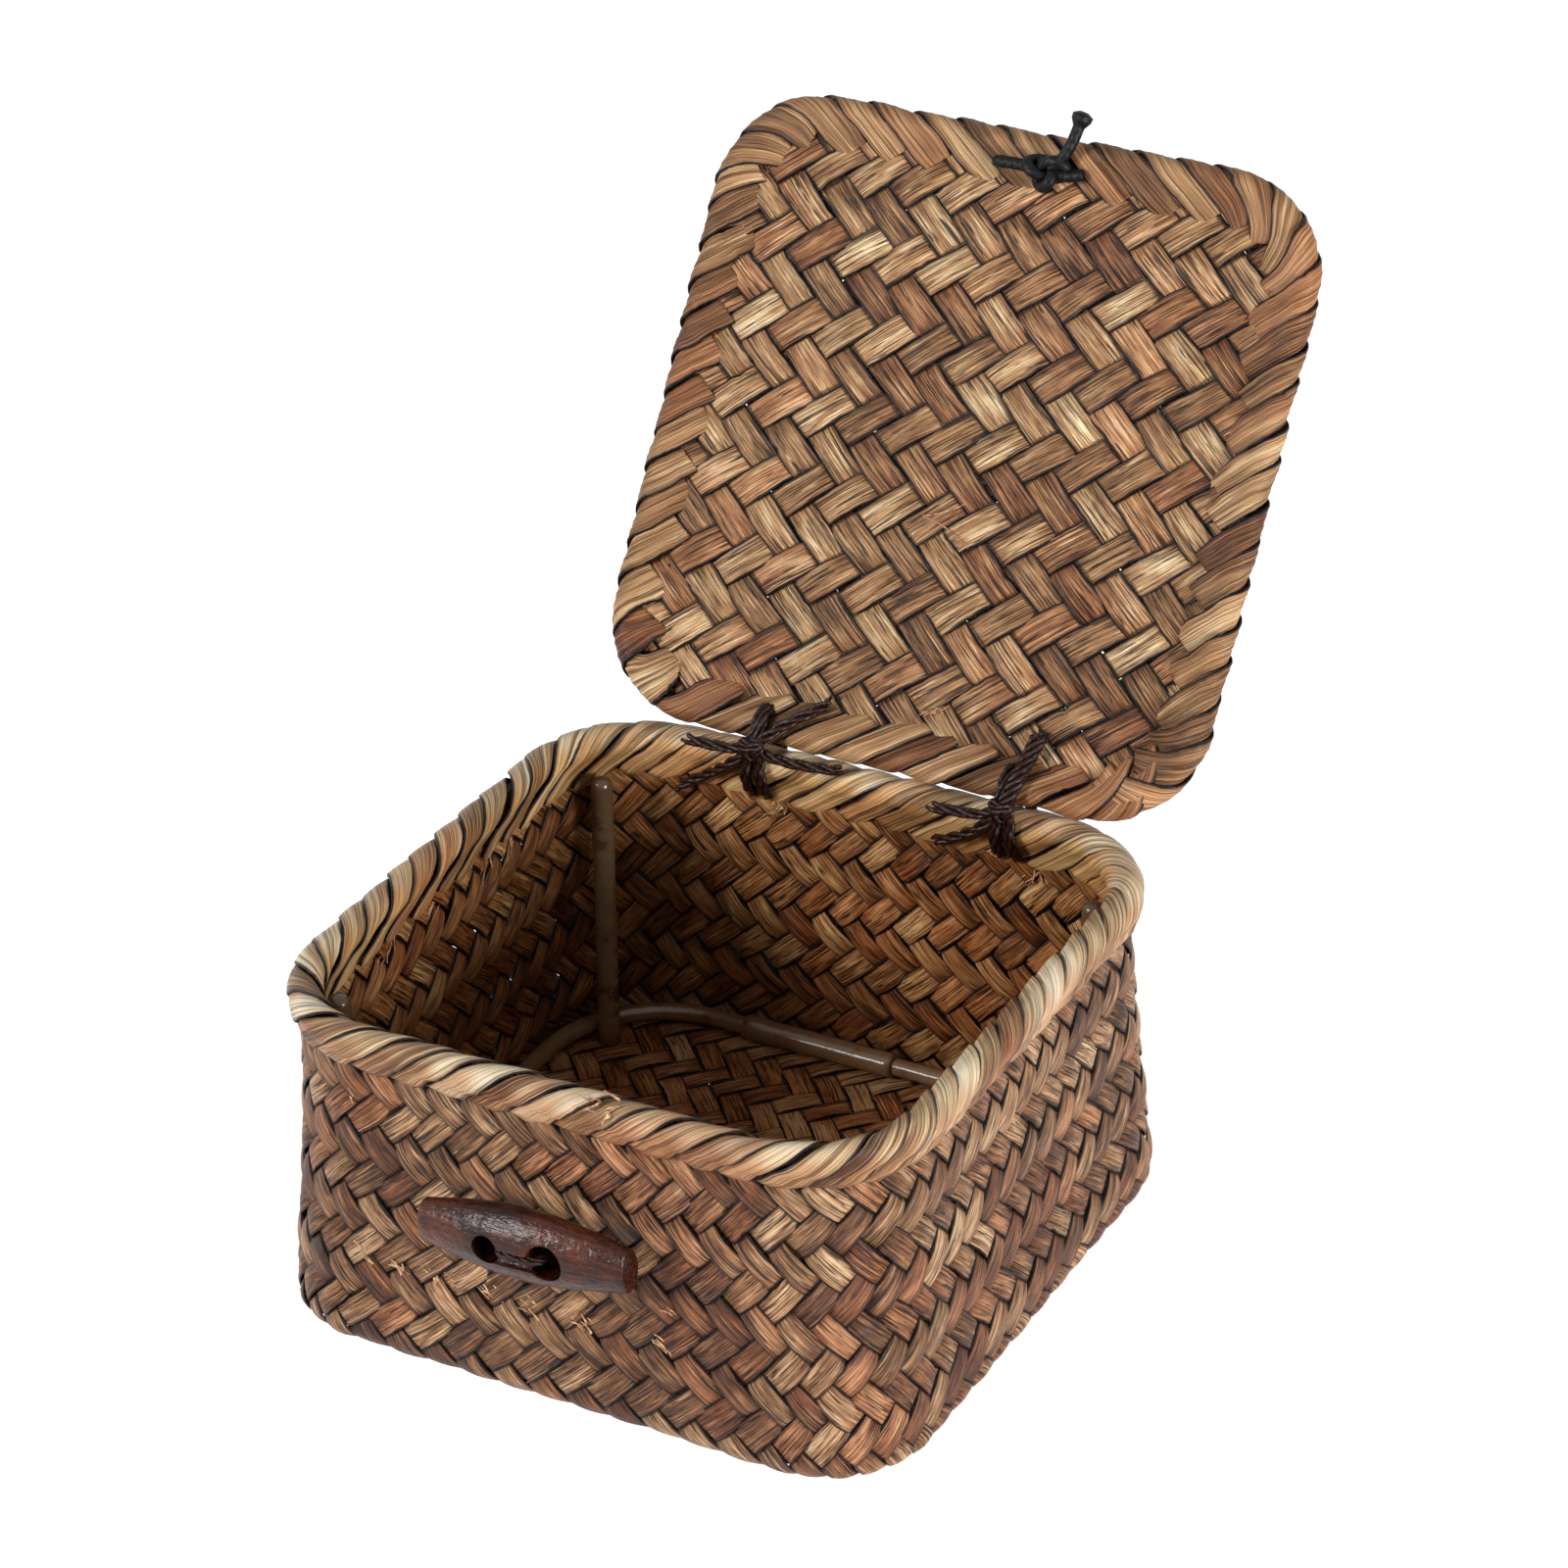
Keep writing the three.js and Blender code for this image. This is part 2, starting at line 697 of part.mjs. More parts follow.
// The directions in which a cord pulled round both rolled edges leaves them, front and back.
function tieAngles() {
  const rise = new THREE.Vector2(hingeY - rimBack, hingeZ - rimHeight);
  const spread = Math.acos((rimTurnRadius() - lidTurnRadius()) / rise.length());
  return { frontAngle: rise.angle() + spread, backAngle: rise.angle() - spread };
}

// The middle of a tie's knot, in front of the cord between the two edges.
function knotCentre(x) {
  const height = hingeZ - lidPanelThickness / 2 - clearance * 2 - tieKnotHeight / 2;
  const stand = rimTubeRadius + clearance + tieKnotDepth / 2;
  const rise = height - rimHeight;
  return point(x, rimBack - Math.sqrt(stand ** 2 - rise ** 2), height);
}

// One turn of a tie: from the knot under the rim, up the back, over the lid's edge and home.
function tieTurn(x, side) {
  const { frontAngle, backAngle } = tieAngles();
  const wide = x + (side * tieSpread) / 2;
  const heart = knotCentre(x + (side * tieCordRadius) / 2);
  const path = [heart];
  for (let step = 0; step <= arcSteps; step += 1) {
    const angle = frontAngle + (step / arcSteps) * (backAngle + fullTurn - frontAngle);
    const reach = rimTurnRadius();
    path.push(point(wide, rimBack + reach * Math.cos(angle), rimHeight + reach * Math.sin(angle)));
  }
  for (let step = 0; step <= arcSteps; step += 1) {
    const angle = backAngle + (step / arcSteps) * (frontAngle - backAngle);
    const reach = lidTurnRadius();
    path.push(point(wide, hingeY + reach * Math.cos(angle), hingeZ + reach * Math.sin(angle)));
  }
  path.push(heart.clone());
  return strand(path, tieCordRadius);
}

// A tie's tails are listed from the knot outwards, as offsets from it.
function hingeTie(x, tails) {
  const centre = knotCentre(x);
  const ends = tails.map((route) => strand(
    [centre, ...route.map(([dx, dy, dz]) => point(centre.x + dx, centre.y + dy, centre.z + dz))],
    tieTailRadius,
  ));
  return join([
    knot(centre, tieKnotWidth, tieKnotDepth, tieKnotHeight),
    tieTurn(x, -1),
    tieTurn(x, 1),
    ...ends,
  ]);
}

const leftTieTails = [
  [[-6, 0, -0.4], [-12, 0.2, -0.6], [-17.6, 0.4, -0.8]],
  [[-5, -0.6, -3.6], [-12, 1.6, -8.8], [-21, 2.4, -14.4]],
  [[6, 0.5, -1], [14, 0.7, -1], [23, 0.7, -0.8]],
];
const rightTieTails = [
  [[-6, 0, -1.2], [-12, 0.1, -1.8], [-18, 0.2, -2.3]],
  [[-5, -0.6, -4], [-12, 1, -8.5], [-19, 2.2, -11.8]],
];

// The tails that lie on the lid, as [x, distance from the hinge] in the lid's plane.
const leftLidTail = [[-24.2, 5.2], [-18.5, 6.8], [-13, 9]];
const rightLidTail = [[35.6, 9.8], [36.6, 12], [37.4, 14.6]];

function lidTail(route) {
  const height = lidPanelThickness / 2 + clearance + tieTailRadius;
  return strand(route.map(([x, y]) => point(x, y, height)), tieTailRadius);
}

// Toggle, drawn round the middle of its barrel with its back towards +Y.

const toggleMiddleY = wallFrontAt(toggleZ) - clearance * 3 - toggleCordThickness - toggleDepth / 2;

function toggleBarrel() {
  const half = toggleLength / 2;
  const profile = [new THREE.Vector2(0, -half)];
  const endRadius = toggleEndHeight / 2;
  const edges = [-1, 1].map((side) => {
    const points = [];
    for (let step = 0; step <= arcSteps / 2; step += 1) {
      const angle = (step / (arcSteps / 2)) * quarterTurn;
      const radius = endRadius - toggleEdgeRadius + toggleEdgeRadius * Math.sin(angle);
      const along = half - toggleEdgeRadius + toggleEdgeRadius * Math.cos(angle);
      points.push(new THREE.Vector2(radius, side * along));
    }
    return side < 0 ? points : points.reverse();
  });
  profile.push(...edges[0]);
  const shoulder = half - toggleEdgeRadius;
  for (let step = 1; step < arcSteps; step += 1) {
    const share = (step / arcSteps) * 2 - 1;
    const swell = (toggleHeight / 2 - endRadius) * Math.cos(share * quarterTurn);
    profile.push(new THREE.Vector2(endRadius + swell, share * shoulder));
  }
  profile.push(...edges[1], new THREE.Vector2(0, half));
  const barrel = new THREE.LatheGeometry(profile, rodSides * 2);
  barrel.rotateZ(-quarterTurn);
  return barrel.scale(1, toggleDepth / toggleHeight, 1);
}

function toggleHole(side) {
  const length = toggleDepth + overrun * 2;
  const hole = new THREE.CylinderGeometry(toggleHoleRadius, toggleHoleRadius, length, rodSides * 2);
  return hole.translate((side * toggleHoleSpacing) / 2, 0, 0);
}

// The groove that the cord lies in between the holes, and the room in front of it.
function toggleGroove() {
  const bottom = -toggleDepth / 2 + toggleGrooveDepth;
  const depth = toggleGrooveDepth + overrun;
  const width = toggleCordWidth + clearance * 2;
  const groove = new THREE.BoxGeometry(toggleHoleSpacing, depth, width);
  return groove.translate(0, bottom - depth / 2, 0);
}

function toggleBody() {
  return cutAway(toggleBarrel(), [toggleHole(-1), toggleHole(1), toggleGroove()]);
}

// The cord's ring through both holes, the neck through the wall and the knot behind it.
function toggleCord() {
  const front = -toggleDepth / 2 + toggleGrooveDepth - clearance - toggleCordThickness / 2;
  const back = toggleDepth / 2 + clearance + toggleCordThickness / 2;
  const halves = [-1, 1].map((side) => {
    const leg = (side * toggleHoleSpacing) / 2;
    const bend = side * toggleCordThickness / 2;
    return strand([
      point(-side * clearance, front, 0),
      point(leg - bend, front, 0),
      point(leg, front + toggleCordThickness / 2, 0),
      point(leg, back - toggleCordThickness / 2, 0),
      point(leg - bend, back, 0),
      point(-side * clearance, back, 0),
    ], toggleCordWidth / 2, toggleCordThickness / 2);
  });
  const wallBack = wallFrontAt(toggleZ) + wallThickness - toggleMiddleY;
  const knotMiddle = wallBack + clearance * 2 + toggleKnotDepth / 2;
  const neck = new THREE.CylinderGeometry(toggleNeckRadius, toggleNeckRadius, knotMiddle - back, rodSides);
  neck.translate(0, (knotMiddle + back) / 2, 0);
  const inner = knot(point(0, knotMiddle, 0), toggleKnotWidth, toggleKnotDepth, toggleKnotWidth);
  return join([...halves, neck, inner]);
}

// Closure, in the lid's plane, with the loop's holes a little in from the lid's far edge.

const closureKnotX = elasticHoleSpacing / 2 + clearance;
const closureKnotY = elasticHoleY - clearance * 2;
const closureKnotZ = lidPanelThickness / 2 + clearance + closureKnotHeight / 2;

function closureKnot() {
  const hole = elasticHoleSpacing / 2;
  const outside = -lidPanelThickness / 2;
  const onFace = lidPanelThickness / 2 + clearance + elasticRadius;
  const lead = strand([
    point(-hole, elasticHoleY, outside),
    point(-hole, elasticHoleY, lidPanelThickness / 2),
    point(-hole + elasticRadius, elasticHoleY, onFace),
    point(0, elasticHoleY, onFace + clearance),
    point(closureKnotX, closureKnotY, closureKnotZ),
  ], elasticRadius);
  const second = strand([
    point(hole, elasticHoleY, outside),
    point(hole, elasticHoleY, closureKnotZ),
  ], elasticRadius);
  const shortTail = strand([
    point(closureKnotX, closureKnotY, closureKnotZ),
    point(closureKnotX + closureKnotWidth / 2, closureKnotY, closureKnotZ - clearance),
    point(closureKnotX + closureKnotWidth, closureKnotY + elasticRadius, closureKnotZ),
  ], elasticRadius);
  const body = knot(
    point(closureKnotX, closureKnotY, closureKnotZ),
    closureKnotWidth,
    closureKnotLength,
    closureKnotHeight,
  );
  return join([body, lead, second, shortTail]);
}

// The longer cut end stands up past the lid's edge.
const closureTailRoute = [[3.3, 2.6, 1.3], [5.6, 7, 2.1], [6.8, 12.6, 2.6]];

function closureTail() {
  const route = closureTailRoute.map(([dx, dy, dz]) => point(
    closureKnotX + dx,
    closureKnotY + dy,
    closureKnotZ + dz,
  ));
  return strand(route, elasticRadius);
}

// The loop hangs straight down from its two holes.
function closureLoop() {
  const half = elasticHoleSpacing / 2;
  const straight = closureDrop - half - elasticRadius;
  const route = [point(-half, 0, 0), point(-half, 0, -straight / 2)];
  for (let step = 0; step <= arcSteps; step += 1) {
    const angle = Math.PI + (step / arcSteps) * Math.PI;
    route.push(point(half * Math.cos(angle), 0, -straight + half * Math.sin(angle)));
  }
  route.push(point(half, 0, -straight / 2), point(half, 0, 0));
  return strand(route, elasticRadius);
}

// Assembly

const box = new THREE.Group();

const basketTools = [tieHole(leftTieX), tieHole(rightTieX), neckHole()];
addPiece(box, 'basket_weave', cutAway(basketShell(), basketTools), materials.plait);
addPiece(box, 'rim_binding', rimBinding(), materials.rolledEdge);
addPiece(box, 'rim_hoop', rimHoop(), materials.rod);
addPiece(box, 'base_hoop', baseHoop(), materials.rod);
addPiece(box, 'base_hoop_sleeve', hoopSleeve(), materials.rod);
addPost(box, 'post_front_left', -1, -1, frontPostRise);
addPost(box, 'post_front_right', 1, -1, frontPostRise);
addPost(box, 'post_back_left', -1, 1, backPostRise);
addPost(box, 'post_back_right', 1, 1, backPostRise);
addPiece(box, 'left_hinge_tie', hingeTie(leftTieX, leftTieTails), materials.waxedCord);
addPiece(box, 'right_hinge_tie', hingeTie(rightTieX, rightTieTails), materials.waxedCord);

const lid = new THREE.Group();
lid.position.set(lidShift, hingeY, hingeZ);
lid.rotation.x = lidLean;
box.add(lid);
addPiece(lid, 'lid_weave', lidPanel(), materials.plait);
addPiece(lid, 'lid_binding', lidBinding(), materials.rolledEdge);
addPiece(lid, 'lid_hoop', lidSweep(roundSection(lidHoopRadius, hoopSides)), materials.rod);
addPiece(lid, 'left_tie_lid_tail', lidTail(leftLidTail), materials.waxedCord);
addPiece(lid, 'right_tie_lid_tail', lidTail(rightLidTail), materials.waxedCord);
addPiece(lid, 'closure_knot', closureKnot(), materials.elastic);
addPiece(lid, 'closure_tail', closureTail(), materials.elastic);

// The loop's own group stands upright at its holes, so the loop hangs plumb from the leaning lid.
const loopPivot = new THREE.Group();
loopPivot.position.set(0, elasticHoleY, -lidPanelThickness / 2 - clearance - elasticRadius);
loopPivot.rotation.x = -lidLean;
lid.add(loopPivot);
addPiece(loopPivot, 'closure_loop', closureLoop(), materials.elastic);

const toggleGroup = new THREE.Group();
toggleGroup.position.set(toggleX, toggleMiddleY, toggleZ);
toggleGroup.rotation.y = -toggleTilt;
box.add(toggleGroup);
addPiece(toggleGroup, 'toggle', toggleBody(), materials.toggleWood);
addPiece(toggleGroup, 'toggle_cord', toggleCord(), materials.waxedCord);

export default box;
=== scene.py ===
import math

import bpy
import numpy as np
from mathutils import Matrix, Quaternion, Vector


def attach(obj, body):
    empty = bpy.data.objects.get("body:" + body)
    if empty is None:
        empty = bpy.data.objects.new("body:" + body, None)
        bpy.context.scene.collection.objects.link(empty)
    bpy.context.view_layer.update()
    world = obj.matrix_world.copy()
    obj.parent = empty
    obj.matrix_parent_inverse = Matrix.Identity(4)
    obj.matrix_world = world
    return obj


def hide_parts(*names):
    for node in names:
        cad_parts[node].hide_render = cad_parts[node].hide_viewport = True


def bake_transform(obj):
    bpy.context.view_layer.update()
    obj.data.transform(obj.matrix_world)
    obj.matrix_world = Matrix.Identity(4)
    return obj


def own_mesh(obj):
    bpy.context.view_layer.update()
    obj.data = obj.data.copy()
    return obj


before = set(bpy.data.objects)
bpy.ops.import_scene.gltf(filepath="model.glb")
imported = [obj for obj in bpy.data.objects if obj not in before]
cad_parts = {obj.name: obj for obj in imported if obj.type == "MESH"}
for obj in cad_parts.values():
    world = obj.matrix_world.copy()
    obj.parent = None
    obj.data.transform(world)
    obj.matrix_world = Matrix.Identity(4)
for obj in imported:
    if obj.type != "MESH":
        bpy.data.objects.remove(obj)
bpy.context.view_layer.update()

# Lengths are written in millimetres and scaled once, where a mesh is made.
MM = 0.001
FULL_TURN = 2 * math.pi

# Camera, with its places in metres
CAMERA_LENS = 120.6
CAMERA_SENSOR = 36
CAMERA_TARGET = (0.01693, 0, 0.11523)
CAMERA_AZIMUTH = math.radians(30.16)
CAMERA_ELEVATION = math.radians(30.16)
CAMERA_ROLL = math.radians(-2.25)
CAMERA_DISTANCE = 1.0726

# Basket
RIM_LENGTH = 142.0
RIM_DEPTH = 136.0
RIM_HEIGHT = 74.2
RIM_CORNER = 25.8
RIM_ROLL = 3.9
WALL_THICKNESS = 2.4
WALL_TOP = 72.1
FOOT_SPREAD = 3.1
FOOT_FORWARD = 1.4
FOOT_CORNER = 23.0
FOOT_EDGE = 5.0
FOOT_FLARE_POWER = 1.6
FOLD_UNDER = 9.0
FLOOR_HEIGHT = 1.45
FLOOR_MARGIN = 1.8
FLOOR_CORNER = 21.8

# Lid
LID_LENGTH = 140.8
LID_DEPTH = 137.0
LID_CORNER = 22.0
LID_SHIFT = 1.5
LID_PANEL_MARGIN = 3
LID_PANEL_CORNER = 20.5
LID_HALF_THICKNESS = 1
HINGE_Y = 70.2
HINGE_Z = 81.6
LID_LEAN = math.radians(57)

# Plaits: strips round the walls or their spacing, how steep they run, and where their rows start
WALL_STRIPS = 66
WALL_SLOPE = 1.032
WALL_ROW_START = -1.5
WALL_TURN = -3.0
WALL_STRIP_START = 1.2
LID_STRIP_SPACING = 10.8
LID_SLOPE = 0.833
LID_ROW_START = -8.2
LID_PLAIT_SHIFT = 1.2

# How strips lie in each plait: rise at a crossing, bulge across, thickness
WALL_RELIEF = (0.95, 0.26, 0.42)
FLOOR_RELIEF = (0.45, 0.12, 0.36)
LID_RELIEF = (0.66, 0.22, 0.4)

# How wide a strip is as a share of its pitch, how far it rolls about its length, and how finely it is drawn
WALL_FILL = 1.1
LID_FILL = 1.07
STRIP_ROLL = 0.24
STEPS_PER_CROSSING = 4
OWN_FLOATS = 80
PANEL_SAMPLES = 700
SHORTEST_STRIP_SAMPLES = 30

# Folds of the rolled edges
RIM_FOLDS = 54
RIM_FOLD_SLOPE = 0.8
RIM_FOLD_JITTER = 0.9
RIM_SHINGLE = 0.38
LID_FOLD_PITCH = 8.6
LID_FOLD_PITCH_GAIN = 2.2
LID_CORNER_FOLD_SHARE = 1.2
LID_FOLD_JITTER = 0.7
LID_SHINGLE = 0.46
FOLD_THICKNESS = 0.42
FOLD_CROWN = 0.2
FOLD_END_DIP = 0.35
FOLD_ROWS = 34
FOLD_PATH_STEPS = 120

# Rods
BASE_HOOP_RADIUS = 2.05
BASE_HOOP_INSET = 2.4
BASE_HOOP_CORNER = 28.2
BASE_HOOP_HEIGHT = 5.1
BASE_HOOP_GAP = 0.4
SLEEVE_X = -13.6
SLEEVE_LENGTH = 38.0
SLEEVE_RADIUS = 2.8
POST_RADIUS = 2.5
ROD_SIDES = 20
BASE_HOOP_STEPS = 240
SLEEVE_STEPS = 24

# Corner posts: how far they stand from the middle, then y and z of their feet and heads
POST_FOOT_X = 59.98
POST_HEAD_X = 60.93
POST_FEET = {"front": (-51.5, 2.45), "back": (48.7, 2.45)}
POST_HEADS = {"front": (-53.2, 72.7), "back": (53.2, 69.2)}

# Hinge ties
TIE_SPREAD = 3.3
LEFT_TIE_X = -27.5
RIGHT_TIE_X = 34.2
LEFT_TIE_LID_SPREAD = 1.1
RIGHT_TIE_LID_SPREAD = 2.6
RIM_TURN = 5.2
LID_TURN = 4.5
TIE_FRONT_ANGLE = math.radians(158.2)
TIE_BACK_ANGLE = math.radians(-11.4)
TIE_KNOT_Y = 62.9
TIE_KNOT_Z = 80.2
TIE_SAG = 1.5
TIE_HEART_SPREAD = 1.1
TIE_TURN_STEPS = 90
TAIL_STEPS = 40

# Toggle
TOGGLE_MIDDLE = (-1.2, -78.98, 44.9)
TOGGLE_LENGTH = 48.6
TOGGLE_HEIGHT = 16.5
TOGGLE_DEPTH = 11.0
TOGGLE_END_HEIGHT = 10.4
TOGGLE_END_ROUND = 1.4
TOGGLE_RINGS = 17
TOGGLE_TILT = math.radians(2.5)
TOGGLE_HOLE_RADIUS = 3.2
TOGGLE_WORN_HOLE_RADIUS = 4.1
TOGGLE_HOLE_SPACING = 13.8
TOGGLE_GROOVE_RADIUS = 1.9
TOGGLE_CORD_DROP = 0.9
TOGGLE_CUT_LENGTH = 20.0
TOGGLE_SOFT_EDGE = 0.45
TOGGLE_SHARP_ANGLE = math.radians(40)

# Bundles of strands: how many, their radius, how far out they lie, flatness of the bundle, twist
TIE_TURN_BUNDLE = (4, 0.56, 0.85, 0.8, 0.34)
TIE_KNOT_BUNDLE = (3, 0.52, 0.6, 1.0, 0.4)
TOGGLE_RING_BUNDLE = (5, 0.45, 0.8, 0.8, 0.5)
TOGGLE_NECK_BUNDLE = (4, 0.6, 0.75, 1, 0.4)
TOGGLE_KNOT_BUNDLE = (3, 0.55, 0.6, 1, 0.5)
STRAND_SIDES = 7

# Frayed tails: how many strands, their radius, how far out they lie
TAIL_BUNDLE = (3, 0.6, 0.7)
LEFT_LID_TAIL_BUNDLE = (3, 0.64, 0.74)
RIGHT_LID_TAIL_BUNDLE = (6, 0.56, 1.3)

# Elastic closure, with places in the lid's plane
ELASTIC_RADIUS = 1.4
ELASTIC_HOLE_SPACING = 13.0
ELASTIC_HOLE_Y = 132.2
LOOP_STRAIGHT = 44.1
LOOP_GAP = 0.3
LOOP_LEG_STEPS = 9
LOOP_BEND_STEPS = 19
LOOP_STEPS = 150
LOOP_SIDES = 14
KNOT_CORD_RADIUS = 1.35
KNOT_CORD_SIDES = 12
KNOT_MIDDLE = (6.8, 131.6, 4.2)

# Torn places on the front wall, below the plait's third row
WALL_TEARS = (-42.0, -34.2, -26.5, -20.9, -12.8, -4.5, 6.2, 23.5)
WALL_TEARS_DOWN = 52.0

# Studio, in metres
STUDIO_FLOOR_SIZE = 6
STUDIO_FLOOR_Z = -0.0002
FLOOR_GLOW = 0.72
SOFT_LIGHT = 0.2
LAMP_TARGET = (0, 0, 0.08)
LAMP_SIZE = 0.5

# Seeds: each plait's two directions use its seed and the next one.
WALL_SEED = 11
FLOOR_SEED = 21
RIM_SEED = 31
LID_SEED = 41
LID_EDGE_SEED = 51
FIBRE_SEED = 61
FOLD_PLACES_SEED = 7

chance = np.random.default_rng(FOLD_PLACES_SEED)


# Camera

def add_camera():
    data = bpy.data.cameras.new("camera")
    data.lens = CAMERA_LENS
    data.sensor_width = CAMERA_SENSOR
    camera = bpy.data.objects.new("camera", data)
    bpy.context.scene.collection.objects.link(camera)
    back = Vector((
        math.sin(CAMERA_AZIMUTH) * math.cos(CAMERA_ELEVATION),
        -math.cos(CAMERA_AZIMUTH) * math.cos(CAMERA_ELEVATION),
        math.sin(CAMERA_ELEVATION),
    ))
    camera.location = Vector(CAMERA_TARGET) + back * CAMERA_DISTANCE
    camera.rotation_mode = "QUATERNION"
    camera.rotation_quaternion = (-back).to_track_quat("-Z", "Y") @ Quaternion((0, 0, 1), CAMERA_ROLL)
    bpy.context.scene.camera = camera


# Mesh helpers

def deselect():
    if bpy.context.object and bpy.context.object.mode != "OBJECT":
        bpy.ops.object.mode_set(mode="OBJECT")
    bpy.ops.object.select_all(action="DESELECT")


def pick(piece):
    deselect()
    piece.select_set(True)
    bpy.context.view_layer.objects.active = piece


def new_mesh(name, shape, material, back=None):
    """A smooth mesh from a shape: vertices in millimetres, faces, and one uv for each vertex.

    back is (material, numbers of the faces that it is on)."""
    vertices, faces, uvs = shape
    mesh = bpy.data.meshes.new(name)
    mesh.from_pydata((np.asarray(vertices) * MM).tolist(), [], [list(map(int, f)) for f in faces])
    layer = mesh.uv_layers.new(name="strip")
    corners = np.empty(len(mesh.loops), int)
    mesh.loops.foreach_get("vertex_index", corners)
    layer.data.foreach_set("uv", np.asarray(uvs, float)[corners].ravel())
    mesh.materials.append(material)
    if back:
        mesh.materials.append(back[0])
        numbers = np.zeros(len(mesh.polygons), int)
        numbers[back[1]] = 1
        mesh.polygons.foreach_set("material_index", numbers)
    mesh.polygons.foreach_set("use_smooth", [True] * len(mesh.polygons))
    mesh.update()
    piece = bpy.data.objects.new(name, mesh)
    bpy.context.scene.collection.objects.link(piece)
    return piece


def outward(piece):
    """Turns every strip's faces outwards."""
    pick(piece)
    bpy.ops.object.mode_set(mode="EDIT")
    bpy.ops.mesh.select_all(action="SELECT")
    bpy.ops.mesh.normals_make_consistent(inside=False)
    bpy.ops.object.mode_set(mode="OBJECT")
    deselect()
    return piece


def belongs(piece, body, node=None):
    """Puts a piece on its body, and hides the solid that it stands for."""
    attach(piece, body)
    if node:
        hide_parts(node)
    return piece


# Paths and tubes

def distances(points):
    """How far along a path each of its points lies."""
    return np.concatenate([[0], np.cumsum(np.linalg.norm(np.diff(points, axis=0), axis=1))])


def path_length(points):
    return float(np.linalg.norm(np.diff(np.asarray(points), axis=0), axis=1).sum())


def points_at(path, along, wanted):
    """The points of a path at the wanted distances along it."""
    return np.stack([np.interp(wanted, along, column) for column in path.T], -1)


def even_path(points, count):
    points = np.asarray(points, float)
    along = distances(points)
    return points_at(points, along, np.linspace(0, along[-1], count))


def smooth_path(points, count):
    """A curve through points, as evenly spaced points."""
    points = np.asarray(points, float)
    padded = np.vstack([2 * points[0] - points[1], points, 2 * points[-1] - points[-2]])
    fine = []
    for i in range(1, len(padded) - 2):
        a, b, c, d = padded[i - 1:i + 3]
        for t in np.linspace(0, 1, 16, endpoint=False):
            fine.append(0.5 * (2 * b + (c - a) * t + (2 * a - 5 * b + 4 * c - d) * t * t
                               + (3 * b - a - 3 * c + d) * t ** 3))
    fine.append(points[-1])
    return even_path(fine, count)


def arc_points(radius, start, end, count):
    angles = np.radians(np.linspace(start, end, count))
    return [(radius * math.cos(a), radius * math.sin(a)) for a in angles]


def overhand_knot(count):
    """x, y and z round an overhand knot that is drawn tight. It is thinnest along z."""
    a = np.linspace(0, FULL_TURN, count)
    return np.sin(a) + 2 * np.sin(2 * a), np.cos(a) - 2 * np.cos(2 * a), -np.sin(3 * a)


def cross_directions(path, first=(0.3, 0.2, 1.0)):
    """Two steady directions across a path, at each of its points."""
    tangents = np.gradient(path, axis=0)
    tangents /= np.linalg.norm(tangents, axis=1)[:, None]
    first = np.array(first, float)
    crosses = []
    for t in tangents:
        first = first - t * (first @ t)
        first /= np.linalg.norm(first)
        crosses.append(first)
    crosses = np.array(crosses)
    return crosses, np.cross(tangents, crosses)


def tube(path, radii, sides):
    """A round closed tube: vertices, faces and uvs (distance along, share of the way round)."""
    path = np.asarray(path, float)
    radii = np.broadcast_to(np.asarray(radii, float), (len(path),))
    a, b = cross_directions(path)
    angles = np.arange(sides) / sides * FULL_TURN
    rings = (path[:, None] + radii[:, None, None]
             * (a[:, None] * np.cos(angles)[None, :, None] + b[:, None] * np.sin(angles)[None, :, None]))
    vertices = np.vstack([rings.reshape(-1, 3), path[0], path[-1]])
    faces = []
    for i in range(len(path) - 1):
        for j in range(sides):
            k = (j + 1) % sides
            faces.append((i * sides + j, i * sides + k, (i + 1) * sides + k, (i + 1) * sides + j))
    start, end = len(vertices) - 2, len(vertices) - 1
    last = (len(path) - 1) * sides
    for j in range(sides):
        k = (j + 1) % sides
        faces.append((start, k, j))
        faces.append((end, last + j, last + k))
    along = distances(path)
    uvs = np.vstack([
        np.stack([np.repeat(along, sides), np.tile(np.arange(sides) / sides, len(path))], 1),
        [[along[0], 0.5], [along[-1], 0.5]],
    ])
    return vertices, faces, uvs


def merged(parts):
    """Several shapes (vertices, faces, uvs) as one."""
    vertices, faces, uvs, offset = [], [], [], 0
    for v, f, t in parts:
        vertices.append(v)
        uvs.append(t)
        faces.extend(tuple(i + offset for i in face) for face in f)
        offset += len(v)
    return np.vstack(vertices), faces, np.vstack(uvs)


# Rounded rectangles

def outline_length(length, depth, corner):
    return 2 * (length + depth - 4 * corner) + FULL_TURN * corner


